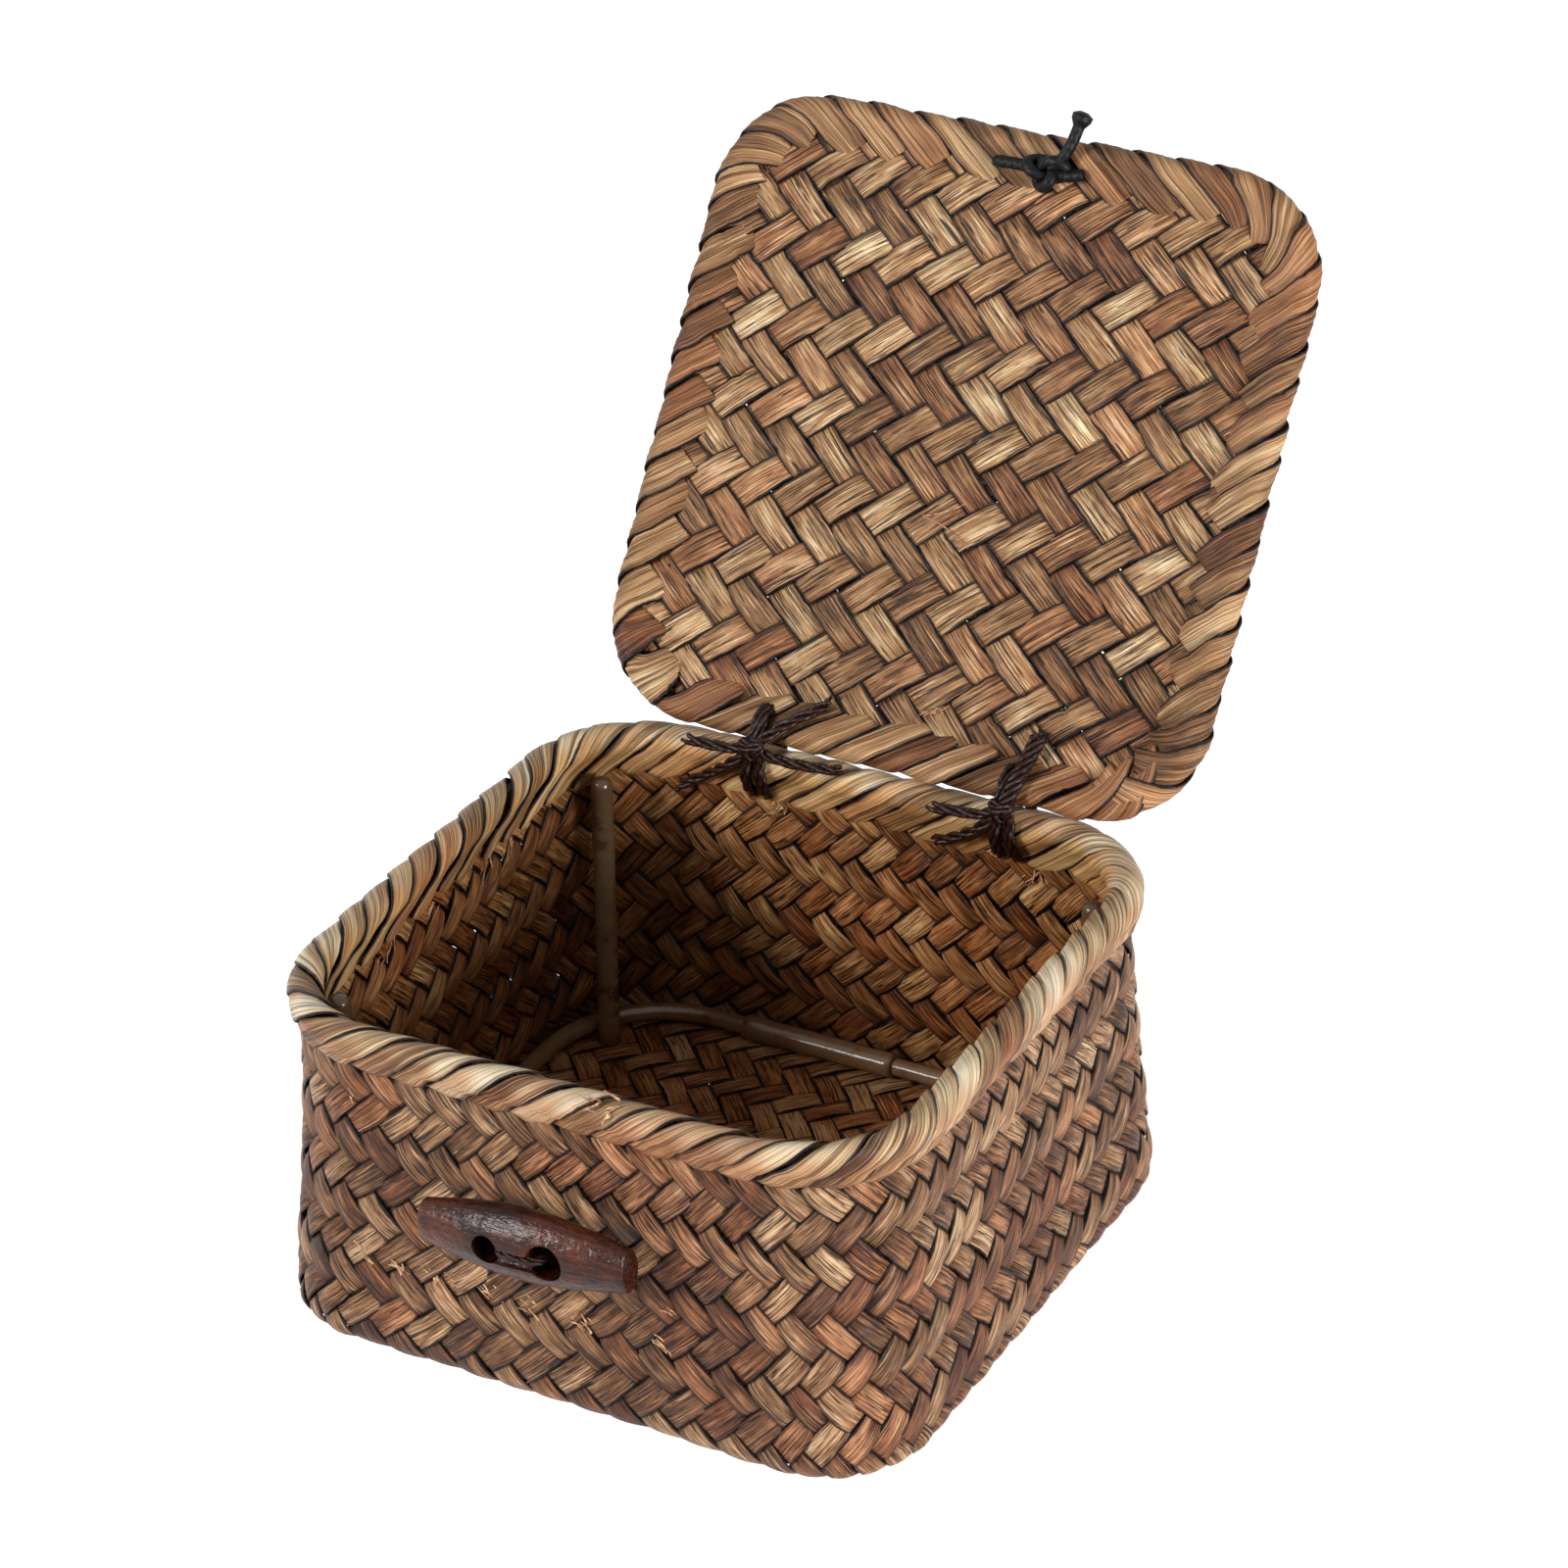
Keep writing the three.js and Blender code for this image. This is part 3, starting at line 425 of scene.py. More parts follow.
def outline_scaled(u, length, depth, corner, reference):
    """Points and outward directions round a rounded rectangle, anticlockwise from the middle of its front.

    u is measured in millimetres round the reference outline (length, depth, corner). The outline's own sizes
    may differ from point to point."""
    ref_length, ref_depth, ref_corner = reference
    arc = ref_corner * math.pi / 2
    half = ref_length / 2 - ref_corner
    side = ref_depth - 2 * ref_corner
    stops = np.cumsum([0, half, arc, side, arc, 2 * half, arc, side, arc, half])
    u = np.mod(u, stops[-1])
    length, depth, corner = (np.broadcast_to(a, u.shape) for a in (length, depth, corner))
    part = np.clip(np.searchsorted(stops, u, side="right") - 1, 0, 8)
    share = (u - stops[part]) / (stops[part + 1] - stops[part])
    x0, y0 = length / 2 - corner, depth / 2 - corner
    from_x = np.array([0, 1, 1, 1, 1, -1, -1, -1, -1])[part]
    to_x = np.array([1, 1, 1, 1, -1, -1, -1, -1, 0])[part]
    from_y = np.array([-1, -1, -1, 1, 1, 1, 1, -1, -1])[part]
    to_y = np.array([-1, -1, 1, 1, 1, 1, -1, -1, -1])[part]
    turn = np.array([-90, -90, 0, 0, 90, 90, 180, 180, 270])[part]
    angle = np.radians(turn + np.where(part % 2 == 1, 90 * share, 0))
    out_x, out_y = np.cos(angle), np.sin(angle)
    x = (from_x + (to_x - from_x) * share) * x0 + corner * out_x
    y = (from_y + (to_y - from_y) * share) * y0 + corner * out_y
    return x, y, out_x, out_y


RIM_OUTLINE = (RIM_LENGTH, RIM_DEPTH, RIM_CORNER)
RIM_ROUND = outline_length(*RIM_OUTLINE)
LID_OUTLINE = (LID_LENGTH, LID_DEPTH, LID_CORNER)
LID_ROUND = outline_length(*LID_OUTLINE)

LID_UP = np.array([0, math.cos(LID_LEAN), math.sin(LID_LEAN)])
LID_NORMAL = np.array([0, -math.sin(LID_LEAN), math.cos(LID_LEAN)])


def on_lid(x, y, z):
    """A place in the lid's own plane, in the frame of the whole box. z points out of the inner face."""
    x, y, z = np.broadcast_arrays(np.asarray(x, float), y, z)
    base = np.stack([x + LID_SHIFT, np.full_like(x, HINGE_Y), np.full_like(x, HINGE_Z)], -1)
    return base + y[..., None] * LID_UP + z[..., None] * LID_NORMAL


# Surfaces that plaits lie on: each gives points and normals at (u, down).

class Surface:
    def fade(self, down):
        """The share of its relief that a plait keeps there."""
        return 1.0


class Wall(Surface):
    """The middle of the basket's wall: down its height, round the foot's edge and in under the floor."""

    start = RIM_HEIGHT
    straight = RIM_HEIGHT - FOOT_EDGE
    bend_radius = FOOT_EDGE - WALL_THICKNESS / 2
    bend = bend_radius * math.pi / 2
    end = straight + bend + FOLD_UNDER
    settle, settle_run = 0.75, 4
    fade_share, fade_run = 0.7, 5
    normal_step = 0.2

    def profile(self, down):
        """Inset from the outer face, and height."""
        angle = np.clip((down - self.straight) / self.bend_radius, 0, math.pi / 2)
        inside = np.clip(down - self.straight - self.bend, 0, None)
        inset = np.where(down < self.straight, WALL_THICKNESS / 2,
                         FOOT_EDGE - self.bend_radius * np.cos(angle) + inside)
        height = np.where(down < self.straight, self.start - down,
                          FOOT_EDGE - self.bend_radius * np.sin(angle))
        return inset, height - np.clip(inside / self.settle_run, 0, 1) * self.settle

    def place(self, u, down):
        inset, height = self.profile(down)
        share = np.clip(height / WALL_TOP, 0, 1)
        spread = FOOT_SPREAD * (1 - share) ** FOOT_FLARE_POWER
        grow = WALL_THICKNESS + (spread - inset) * 2
        corner = FOOT_CORNER + (RIM_CORNER + WALL_THICKNESS / 2 - FOOT_CORNER) * share - inset
        x, y, _, _ = outline_scaled(u + WALL_TURN, RIM_LENGTH + grow, RIM_DEPTH + grow, corner, RIM_OUTLINE)
        return np.stack([x, y - FOOT_FORWARD * (1 - share), height], -1)

    def __call__(self, u, down):
        step = self.normal_step
        round_way = self.place(u + step, down) - self.place(u - step, down)
        down_way = self.place(u, down + step) - self.place(u, down - step)
        normal = np.cross(down_way, round_way)
        return self.place(u, down), normal / np.linalg.norm(normal, axis=-1)[..., None]

    def fade(self, down):
        inside = np.clip((down - self.straight - self.bend) / self.fade_run, 0, 1)
        return 1 - self.fade_share * inside


class Floor(Surface):
    """The plaited floor, seen from inside. Down runs towards the front."""

    def __call__(self, u, down):
        point = np.stack([u, -down, np.full_like(u, FLOOR_HEIGHT)], -1)
        return point, np.broadcast_to([0.0, 0.0, 1.0], point.shape)


class Lid(Surface):
    """The lid's panel, seen from its inner face. Down runs from the far edge to the hinge."""

    def __call__(self, u, down):
        point = on_lid(u + LID_PLAIT_SHIFT, LID_DEPTH - down, 0.0)
        return point, np.broadcast_to(LID_NORMAL, point.shape)


# Strips

# Across a strip: where the section's points lie, and on which face (1 front, -1 back, 0 edge).
SECTION_ACROSS = np.array([-1, -0.88, -0.45, 0, 0.45, 0.88, 1, 0.88, 0.45, 0, -0.45, -0.88])
SECTION_FACE = np.array([0, 1, 1, 1, 1, 1, 0, -1, -1, -1, -1, -1])
SECTION = len(SECTION_ACROSS)
SECTION_BULGE = 1 - SECTION_ACROSS ** 2

# Where strips and floats start to be counted in the uvs, and how far a strip reaches across its own unit
FIRST_STRIP = 200
FIRST_FLOAT = 40
UV_REACH = 0.49


def strip_shape(points, along, number):
    """One closed strip from rows of sections, with its uvs: floats along it and strips across it."""
    rows = len(along)
    i, j = np.meshgrid(np.arange(rows - 1), np.arange(SECTION), indexing="ij")
    k = (j + 1) % SECTION
    quads = np.stack([i * SECTION + j, i * SECTION + k, (i + 1) * SECTION + k, (i + 1) * SECTION + j], -1)
    faces = quads.reshape(-1, 4).tolist()
    faces.append(list(range(SECTION - 1, -1, -1)))
    faces.append([(rows - 1) * SECTION + x for x in range(SECTION)])
    uvs = np.stack([
        np.repeat(along, SECTION),
        np.tile(number + FIRST_STRIP + 0.5 + SECTION_ACROSS * UV_REACH, rows),
    ], 1)
    return points.reshape(-1, 3), faces, uvs


def back_faces(faces):
    """The quads on the backs of strips, as numbers in the list of faces."""
    return [i for i, face in enumerate(faces) if len(face) == 4 and face[0] % SECTION >= SECTION // 2]


def ragged(luck, count, amount):
    """An uneven line: small steps everywhere and a nick here and there."""
    steps = luck.uniform(-1, 1, count)
    nicks = np.where(luck.uniform(0, 1, count) > 0.96, luck.uniform(-4, 0, count), 0)
    return amount * (steps + nicks)


def float_number(x):
    """Which float a place lies on, from the distance along its strip in crossings. A float spans two."""
    return (x + 0.5) / 2


def float_height(x):
    """The rise of a strip along its length: over two crossings, then under two."""
    wave = np.sin(math.pi * (x + 0.5) / 2)
    return np.sign(wave) * np.abs(wave) ** 0.6


def uneven_strip(luck, x, fill):
    """How far across each section's points lie, and how much higher or lower than usual each float stands.

    The strip sways and narrows along its length, and its two edges are ragged."""
    width = fill * luck.uniform(0.92, 1.05)
    sway = 0.045 * np.sin(x * luck.uniform(0.5, 1.1) + luck.uniform(0, 6))
    pinch = 1 + 0.05 * np.sin(x * luck.uniform(1.2, 2.2) + luck.uniform(0, 6))
    floats = luck.uniform(0.8, 1.25, OWN_FLOATS)
    own_lift = floats[np.mod(np.floor(float_number(x)).astype(int), OWN_FLOATS)]
    across = SECTION_ACROSS[None, :] * width / 2 * pinch[:, None] + sway[:, None]
    for side in (-1, 1):
        edge = np.where(np.abs(SECTION_ACROSS - side) < 0.2, side, 0)
        across = across + edge[None, :] * ragged(luck, len(x), 0.014)[:, None]
    return across, own_lift


def plait(name, surface, strips, rising, spacing, slope, row_start, relief, materials, seed,
          fill=WALL_FILL):
    """One direction of a plait laid on a surface.

    strips holds (number, first, last), with the distances down the surface at which each strip starts and
    ends. materials holds those of the front, where the normals point, and of the back. Each strip is rolled a
    little, so that its lower edge lies over the next one's upper edge on both faces."""
    luck = np.random.default_rng(seed)
    lift, crown, thickness = relief
    way = 1 if rising else -1
    row_height = spacing * slope / 2
    parts = []
    for number, first, last in strips:
        start, stop = (first - row_start) / row_height, (last - row_start) / row_height
        x = np.linspace(start, stop, max(4, int(abs(stop - start) * STEPS_PER_CROSSING)))
        across, own_lift = uneven_strip(luck, x, fill)
        crossings = number - way * x[:, None] + np.zeros_like(across)
        alpha, beta = (number + across, crossings) if rising else (crossings, number + across)
        down = row_height * (alpha - beta) + row_start
        point, normal = surface(spacing * (alpha + beta) / 2, down)
        rise = float_height(x) * way
        curl = luck.uniform(-0.14, 0.14) * np.sin(x * 1.7 + luck.uniform(0, 6))
        roll = STRIP_ROLL * rise * way + curl
        height = (rise * lift * own_lift)[:, None] + (rise * crown)[:, None] * SECTION_BULGE
        height = height + roll[:, None] * SECTION_ACROSS + SECTION_FACE * thickness / 2
        point = point + normal * (height * surface.fade(down))[..., None]
        parts.append(strip_shape(point, float_number(x) + FIRST_FLOAT, number))
    shape = merged(parts)
    return outward(new_mesh(name, shape, materials[0], back=(materials[1], back_faces(shape[1]))))


def panel_strips(length, depth, corner, middle, spacing, slope, row_start, rising):
    """The strips that fill a rounded panel, each cut where it leaves the outline.

    middle is the panel's centre as (u, down)."""
    strips = []
    reach = int((length + depth / slope) / spacing) + 2
    down = np.linspace(middle[1] - depth / 2, middle[1] + depth / 2, PANEL_SAMPLES)
    for number in range(-reach, reach * 2):
        u = number * spacing + (-1 if rising else 1) * (down - row_start) / slope
        qx = np.abs(u - middle[0]) - (length / 2 - corner)
        qy = np.abs(down - middle[1]) - (depth / 2 - corner)
        distance = np.hypot(np.maximum(qx, 0), np.maximum(qy, 0)) + np.minimum(np.maximum(qx, qy), 0)
        inside = down[distance - corner < 0]
        if len(inside) > SHORTEST_STRIP_SAMPLES:
            strips.append((number, inside[0], inside[-1]))
    return strips


def folded_edge(name, place, path, folds, material, seed, shingle):
    """Strips that wrap slantwise over a hoop, along a path of (out, up) from the hoop's middle.

    folds holds (u at the path's middle, advance round the edge per length of the path, width round the edge).
    Each fold narrows towards its last end, and all end at different lengths. shingle is how far each one's
    edge stands over the next one's."""
    luck = np.random.default_rng(seed)
    path = smooth_path(path, FOLD_PATH_STEPS)
    along = distances(path)
    total = along[-1]
    parts = []
    for number, (middle, advance, width) in enumerate(folds):
        # Each section leans the way the strips of the other direction run, and less where the fold is square.
        lean = 1 / advance if abs(advance) > 0.5 else 4 * advance
        w = np.linspace(luck.uniform(-0.4, 0.4), total + luck.uniform(-1.8, 1.4), FOLD_ROWS)[:, None]
        half = width / 2 * luck.uniform(1.05, 1.17)
        bow = luck.uniform(-0.5, 0.5) * np.sin(math.pi * w / total)
        taper = 1 - luck.uniform(0.0, 0.15) * np.clip((w - total + 7) / 7, 0, 1) ** 2
        wave = 1 + 0.05 * np.sin(w * 0.7 + luck.uniform(0, 6)) + ragged(luck, FOLD_ROWS, 0.02)[:, None]
        across = SECTION_ACROSS[None, :] * half * taper * wave
        u = middle + advance * (w - total / 2) + across * (1 - lean * advance / 2) + bow
        # Beyond the path's ends a strip runs straight on.
        station = w - across * lean / 2
        inner = np.clip(station, 0, total)
        ahead, behind = (points_at(path, along, np.clip(inner + step, 0, total)) for step in (0.1, -0.1))
        heading = ahead - behind
        heading = heading / np.hypot(heading[..., 0], heading[..., 1])[..., None]
        point = points_at(path, along, inner) + heading * (station - inner)[..., None]
        height = (SECTION_FACE * FOLD_THICKNESS / 2 + shingle * luck.uniform(0.8, 1.3) * SECTION_ACROSS
                  + FOLD_CROWN * SECTION_BULGE + luck.uniform(-0.12, 0.12)
                  + 0.12 * np.sin(w * luck.uniform(0.5, 1.2) + luck.uniform(0, 6)))
        ends = np.clip(np.minimum(station, total - station) / 2.0, 0, 1)
        height = height - FOLD_END_DIP * (1 - ends)
        out = point[..., 0] + heading[..., 1] * height
        up = point[..., 1] - heading[..., 0] * height
        parts.append(strip_shape(place(u, out, up), w[:, 0] / total * 0.8 + 0.1 + 2 * number, number))
    return outward(new_mesh(name, merged(parts), material))


def rim_place(u, out, up):
    x, y, out_x, out_y = outline_scaled(u, *RIM_OUTLINE, RIM_OUTLINE)
    return np.stack([x + out_x * out, y + out_y * out, RIM_HEIGHT + up], -1)


def lid_edge_place(u, out, up):
    x, y, out_x, out_y = outline_scaled(u, *LID_OUTLINE, LID_OUTLINE)
    return on_lid(x + out_x * out, y + out_y * out + LID_DEPTH / 2, up)


# Materials

class Nodes:
    """Short hands for building a tree of shader nodes."""

    def __init__(self, tree):
        self.tree = tree
        tree.nodes.clear()

    def add(self, kind):
        return self.tree.nodes.new(f"ShaderNode{kind}")

    def link(self, a, b):
        self.tree.links.new(a, b)

    def put(self, socket, value):
        if isinstance(value, bpy.types.NodeSocket):
            self.link(value, socket)
        else:
            socket.default_value = value

    def math(self, operation, *values, clamp=False):
        node = self.add("Math")
        node.operation = operation
        node.use_clamp = clamp
        for socket, value in zip(node.inputs, values):
            self.put(socket, value)
        return node.outputs[0]

    def plus(self, a, b, clamp=False):
        return self.math("ADD", a, b, clamp=clamp)

    def minus(self, a, b):
        return self.math("SUBTRACT", a, b)

    def times(self, a, b):
        return self.math("MULTIPLY", a, b)

    def larger(self, a, b):
        return self.math("MAXIMUM", a, b)

    def size(self, value):
        return self.math("ABSOLUTE", value)

    def whole(self, value):
        return self.math("FLOOR", value)

    def rest(self, value):
        return self.math("FRACT", value)

    def swing(self, pattern, weight):
        """A pattern about a half as one about nought."""
        return self.times(self.minus(pattern, 0.5), weight)

    def off_middle(self, value):
        return self.size(self.minus(value, 0.5))

    def object_place(self):
        return self.add("TexCoord").outputs["Object"]

    def split(self, vector):
        node = self.add("SeparateXYZ")
        self.link(vector, node.inputs[0])
        return tuple(node.outputs)

    def uv(self):
        node = self.add("UVMap")
        node.uv_map = "strip"
        return self.split(node.outputs[0])[:2]

    def combine(self, x, y, z=0.0):
        node = self.add("CombineXYZ")
        for socket, value in zip(node.inputs, (x, y, z)):
            self.put(socket, value)
        return node.outputs[0]

    def noise(self, vector, scale, detail=2.0, roughness=0.5, distortion=0.0):
        node = self.add("TexNoise")
        self.link(vector, node.inputs["Vector"])
        for key, value in (("Scale", scale), ("Detail", detail), ("Roughness", roughness),
                           ("Distortion", distortion)):
            node.inputs[key].default_value = value
        return node.outputs["Fac"]

    def grain(self, parts, scales, detail):
        """Noise that is stretched by its own scale along x, y and z."""
        return self.noise(self.combine(*(self.times(part, scale) for part, scale in zip(parts, scales))),
                          1.0, detail, 0.6)

    def white(self, x, y):
        node = self.add("TexWhiteNoise")
        node.noise_dimensions = "2D"
        self.link(self.combine(x, y), node.inputs["Vector"])
        return node.outputs["Value"]

    def stretch(self, value, low, high, to_low=0.0, to_high=1.0):
        node = self.add("MapRange")
        node.clamp = True
        node.interpolation_type = "SMOOTHSTEP"
        self.put(node.inputs["Value"], value)
        for key, number in (("From Min", low), ("From Max", high), ("To Min", to_low), ("To Max", to_high)):
            node.inputs[key].default_value = number
        return node.outputs["Result"]

    def ramp(self, value, stops):
        node = self.add("ValToRGB")
        self.link(value, node.inputs[0])
        ramp = node.color_ramp
        while len(ramp.elements) < len(stops):
            ramp.elements.new(0.5)
        for element, (place, colour) in zip(ramp.elements, stops):
            element.position = place
            element.color = (*colour, 1)
        return node.outputs["Color"]

    def mix(self, share, a, b, blend="MIX"):
        node = self.add("Mix")
        node.data_type = "RGBA"
        node.blend_type = blend
        self.put(node.inputs[0], share)
        for socket, value in ((node.inputs[6], a), (node.inputs[7], b)):
            self.put(socket, value if isinstance(value, bpy.types.NodeSocket) else (*value, 1))
        return node.outputs[2]

    def bump(self, height, strength, distance):
        node = self.add("Bump")
        node.inputs["Strength"].default_value = strength
        node.inputs["Distance"].default_value = distance
        self.link(height, node.inputs["Height"])
        return node.outputs[0]

    def seen(self):
        """1 for what the camera sees directly, by reflection or through something."""
        rays = self.add("LightPath").outputs
        return self.larger(rays["Is Camera Ray"],
                           self.larger(rays["Is Glossy Ray"], rays["Is Transmission Ray"]))


class Finish(Nodes):
    """One material, whose colour, roughness, gloss and relief go to one shader."""

    def __init__(self, name):
        self.material = bpy.data.materials.new(name)
        self.material.use_nodes = True
        super().__init__(self.material.node_tree)
        self.output = self.add("OutputMaterial")
        self.shader = self.add("BsdfPrincipled")
        self.link(self.shader.outputs[0], self.output.inputs[0])

    def made(self, colour, roughness, gloss, height, strength, depth):
        """The material, from its colour, roughness, gloss and the height pattern of its relief."""
        self.link(colour, self.shader.inputs["Base Color"])
        self.put(self.shader.inputs["Roughness"], roughness)
        self.shader.inputs["Specular IOR Level"].default_value = gloss
        self.link(self.bump(height, strength, depth), self.shader.inputs["Normal"])
        return self.material


def srgb(red, green, blue):
    """A colour as it is seen on a screen, 0 to 255, as the light it stands for."""
    values = []
    for value in (red, green, blue):
        value /= 255
        values.append(value / 12.92 if value <= 0.04045 else ((value + 0.055) / 1.055) ** 2.4)
    return tuple(values)


def tones(places, *colours):
    """The stops of a colour ramp, from dark to pale."""
    return [(place, srgb(*colour)) for place, colour in zip(places, colours)]


# Painted highlight: the palest stop of each ramp stands partly for glints on the lacquer, where the streaks
# are palest.
DYE_STOPS = (0.0, 0.2, 0.43, 0.66, 1.0)
SOFT_DYE_STOPS = (0.0, 0.22, 0.45, 0.68, 1.0)
OUTER_TONES = tones(DYE_STOPS, (16, 6, 3), (52, 28, 17), (100, 64, 41), (148, 108, 74), (214, 178, 138))
INNER_TONES = tones(SOFT_DYE_STOPS, (40, 16, 7), (94, 53, 27), (144, 92, 51), (176, 124, 75), (232, 190, 134))
FLOOR_TONES = tones(SOFT_DYE_STOPS, (50, 22, 12), (126, 74, 42), (186, 124, 78), (222, 168, 112),
                    (250, 220, 170))
LID_TONES = tones(DYE_STOPS, (26, 10, 5), (82, 48, 28), (135, 95, 61), (178, 137, 94), (244, 219, 176))
RIM_TONES = tones(DYE_STOPS, (34, 16, 9), (112, 76, 48), (186, 154, 114), (232, 210, 172), (255, 250, 234))
# Dark tone of cracks, lines and dye, and of the painted shade at the strips' edges and ends.
DARK_DYE_AND_SHADE = srgb(12, 4, 3)
STAIN = srgb(84, 40, 24)
RED_TINT = srgb(232, 172, 142)
# Painted shade: tints that darken the outer and inner parts of a folded strip.
OUTSIDE_FOLD_SHADE = srgb(214, 186, 168)
INSIDE_FOLD_SHADE = srgb(250, 224, 188)
BORDER_TINT = srgb(255, 255, 255)


def dyed_strip(name, dye, tint_share, end_shadow_share=0.75, roughness=0.42, gloss=0.3, fold=None, grain=1.0):
    """Dyed, lacquered leaf strip: streaks along its length, dark dye in its cracks, dark edges that are
    partly dye and partly painted shade of the gaps between strips, and dark ends of its lengths that are
    partly painted shadow.

    dye holds the tones of the colour, whose palest stop is partly painted highlight, and tint_share is how
    red its reddest parts are.
    fold is (painted shade outside, painted shade inside) for a strip that is folded over an edge. grain is
    how strong the streaks are."""
    base_tone, arch_shade_weight = (0.27, 0.0) if fold else (0.35, -0.1)
    crack_share, line_share = (0.5, 0.45) if fold else (0.95, 0.9)
    n = Finish(name)
    along, across = n.uv()
    strip, length_part = n.whole(across), n.whole(along)
    place, part = n.rest(across), n.rest(along)

    def streaks(length_scale, across_scale, detail, shift=0.0):
        vector = n.combine(n.times(along, length_scale), n.times(across, across_scale), shift)
        return n.noise(vector, 1.0, detail, 0.6)

    bands = streaks(1.0, 6.0, 3.0)
    fibres = streaks(0.7, 14.0, 3.0)
    fine = streaks(1.3, 28.0, 2.0)
    cloud = streaks(1.4, 1.7, 3.0, 7.0)
    lines = n.times(n.stretch(n.off_middle(streaks(0.3, 9.0, 1.0, 21.0)), 0.006, 0.022, 1.0, 0.0),
                    n.stretch(streaks(1.2, 2.2, 2.0, 15.0), 0.36, 0.5))
    cracks = n.times(n.stretch(streaks(0.45, 15.0, 2.0, 4.0), 0.575, 0.6),
                     n.stretch(streaks(1.1, 1.9, 2.0, 11.0), 0.44, 0.52))
    # Each strip and each length of it has its own tone. Painted shade and highlight: each length is darkened
    # towards its ends, so that it is palest at its crest, as if lit over its arch.
    tone = n.plus(n.times(n.white(strip, 3.7), 0.14), n.times(n.white(strip, length_part), 0.32))
    for pattern, weight in ((cloud, 0.9), (bands, 0.75 * grain), (fibres, 1.05 * grain), (fine, 0.9 * grain)):
        tone = n.plus(tone, n.swing(pattern, weight))
    arch_shade = n.swing(part, 2.0)
    tone = n.plus(tone, n.times(n.times(arch_shade, arch_shade), arch_shade_weight))
    colour = n.ramp(n.plus(tone, base_tone, clamp=True), dye)
    # Some lengths and some regions took the dye redder than others.
    redder = n.white(n.plus(strip, 17.0), n.plus(length_part, 5.0))
    redder = n.plus(redder, n.swing(n.noise(n.object_place(), 16.0), 1.6))
    colour = n.mix(n.times(n.stretch(redder, 0.45, 0.95), tint_share), colour, RED_TINT, "MULTIPLY")
    # Painted shade on a folded strip: its outer part and its inner part are darkened by their tints.
    if fold:
        length_share = n.times(n.rest(n.times(along, 0.5)), 2.0)
        colour = n.mix(n.stretch(length_share, 0.4, 0.28), colour, fold[0], "MULTIPLY")
        colour = n.mix(n.stretch(length_share, 0.5, 0.62), colour, fold[1], "MULTIPLY")
    # Dark edges, ragged by noise, partly dye and partly painted shade of the gaps between strips, and dark
    # ends where a length dives under its neighbour, partly dye and partly painted contact shadow.
    from_middle = n.plus(n.off_middle(place), n.swing(bands, 0.09))
    stain = n.times(n.stretch(n.plus(from_middle, n.times(cloud, 0.5)), 0.6, 0.74), 0.75)
    edge = n.stretch(from_middle, 0.42, 0.438)
    ends = n.stretch(n.plus(n.off_middle(part), n.swing(fibres, 0.14)), 0.45, 0.48)
    dark = n.larger(edge, n.times(ends, end_shadow_share))
    dark = n.larger(dark, n.times(cracks, crack_share))
    dark = n.larger(dark, n.times(lines, line_share))
    colour = n.mix(dark, n.mix(stain, colour, STAIN), DARK_DYE_AND_SHADE)
    height = n.plus(n.times(fibres, 0.8 * grain), n.times(fine, 0.6 * grain))
    height = n.plus(height, n.times(bands, 0.8))
    height = n.minus(height, n.times(n.larger(cracks, lines), 0.9))
    return n.made(colour, n.stretch(fibres, 0.25, 0.75, roughness - 0.1, roughness + 0.16), gloss,
                  height, 1.0, 0.0006)


def cane():
    """Peeled cane rod: grey-tan and glossy, stained brown in places."""
    n = Finish("cane_rod")
    place = n.object_place()
    height_up = n.split(place)[2]
    stain = n.noise(place, 55.0, 3.0, 0.6, 0.4)
    speck = n.noise(place, 420.0, 3.0, 0.6)
    tone = n.plus(n.times(stain, 0.75), n.times(speck, 0.3))
    colour = n.ramp(tone, tones((0.0, 0.4, 0.47, 0.7, 1.0), (58, 24, 12), (96, 58, 36), (136, 112, 84),
                                (160, 140, 110), (188, 174, 148)))
    # Painted shade: the posts' heads are darkened towards the top, where the rolled edge covers and shades
    # them.
    head_shade = n.plus(height_up, n.times(stain, 0.02))
    colour = n.mix(n.stretch(head_shade, 0.045, 0.082, 0.0, 0.85), colour, srgb(60, 36, 22))
    # Painted shade: low down, the hoop on the floor and the posts' feet are tinted browner, for the shade
    # inside the basket.
    colour = n.mix(n.stretch(height_up, 0.0078, 0.0092, 0.35, 0.0), colour, srgb(126, 70, 34))
    return n.made(colour, 0.2, 0.4, n.plus(stain, n.times(speck, 0.3)), 0.3, 0.0006)


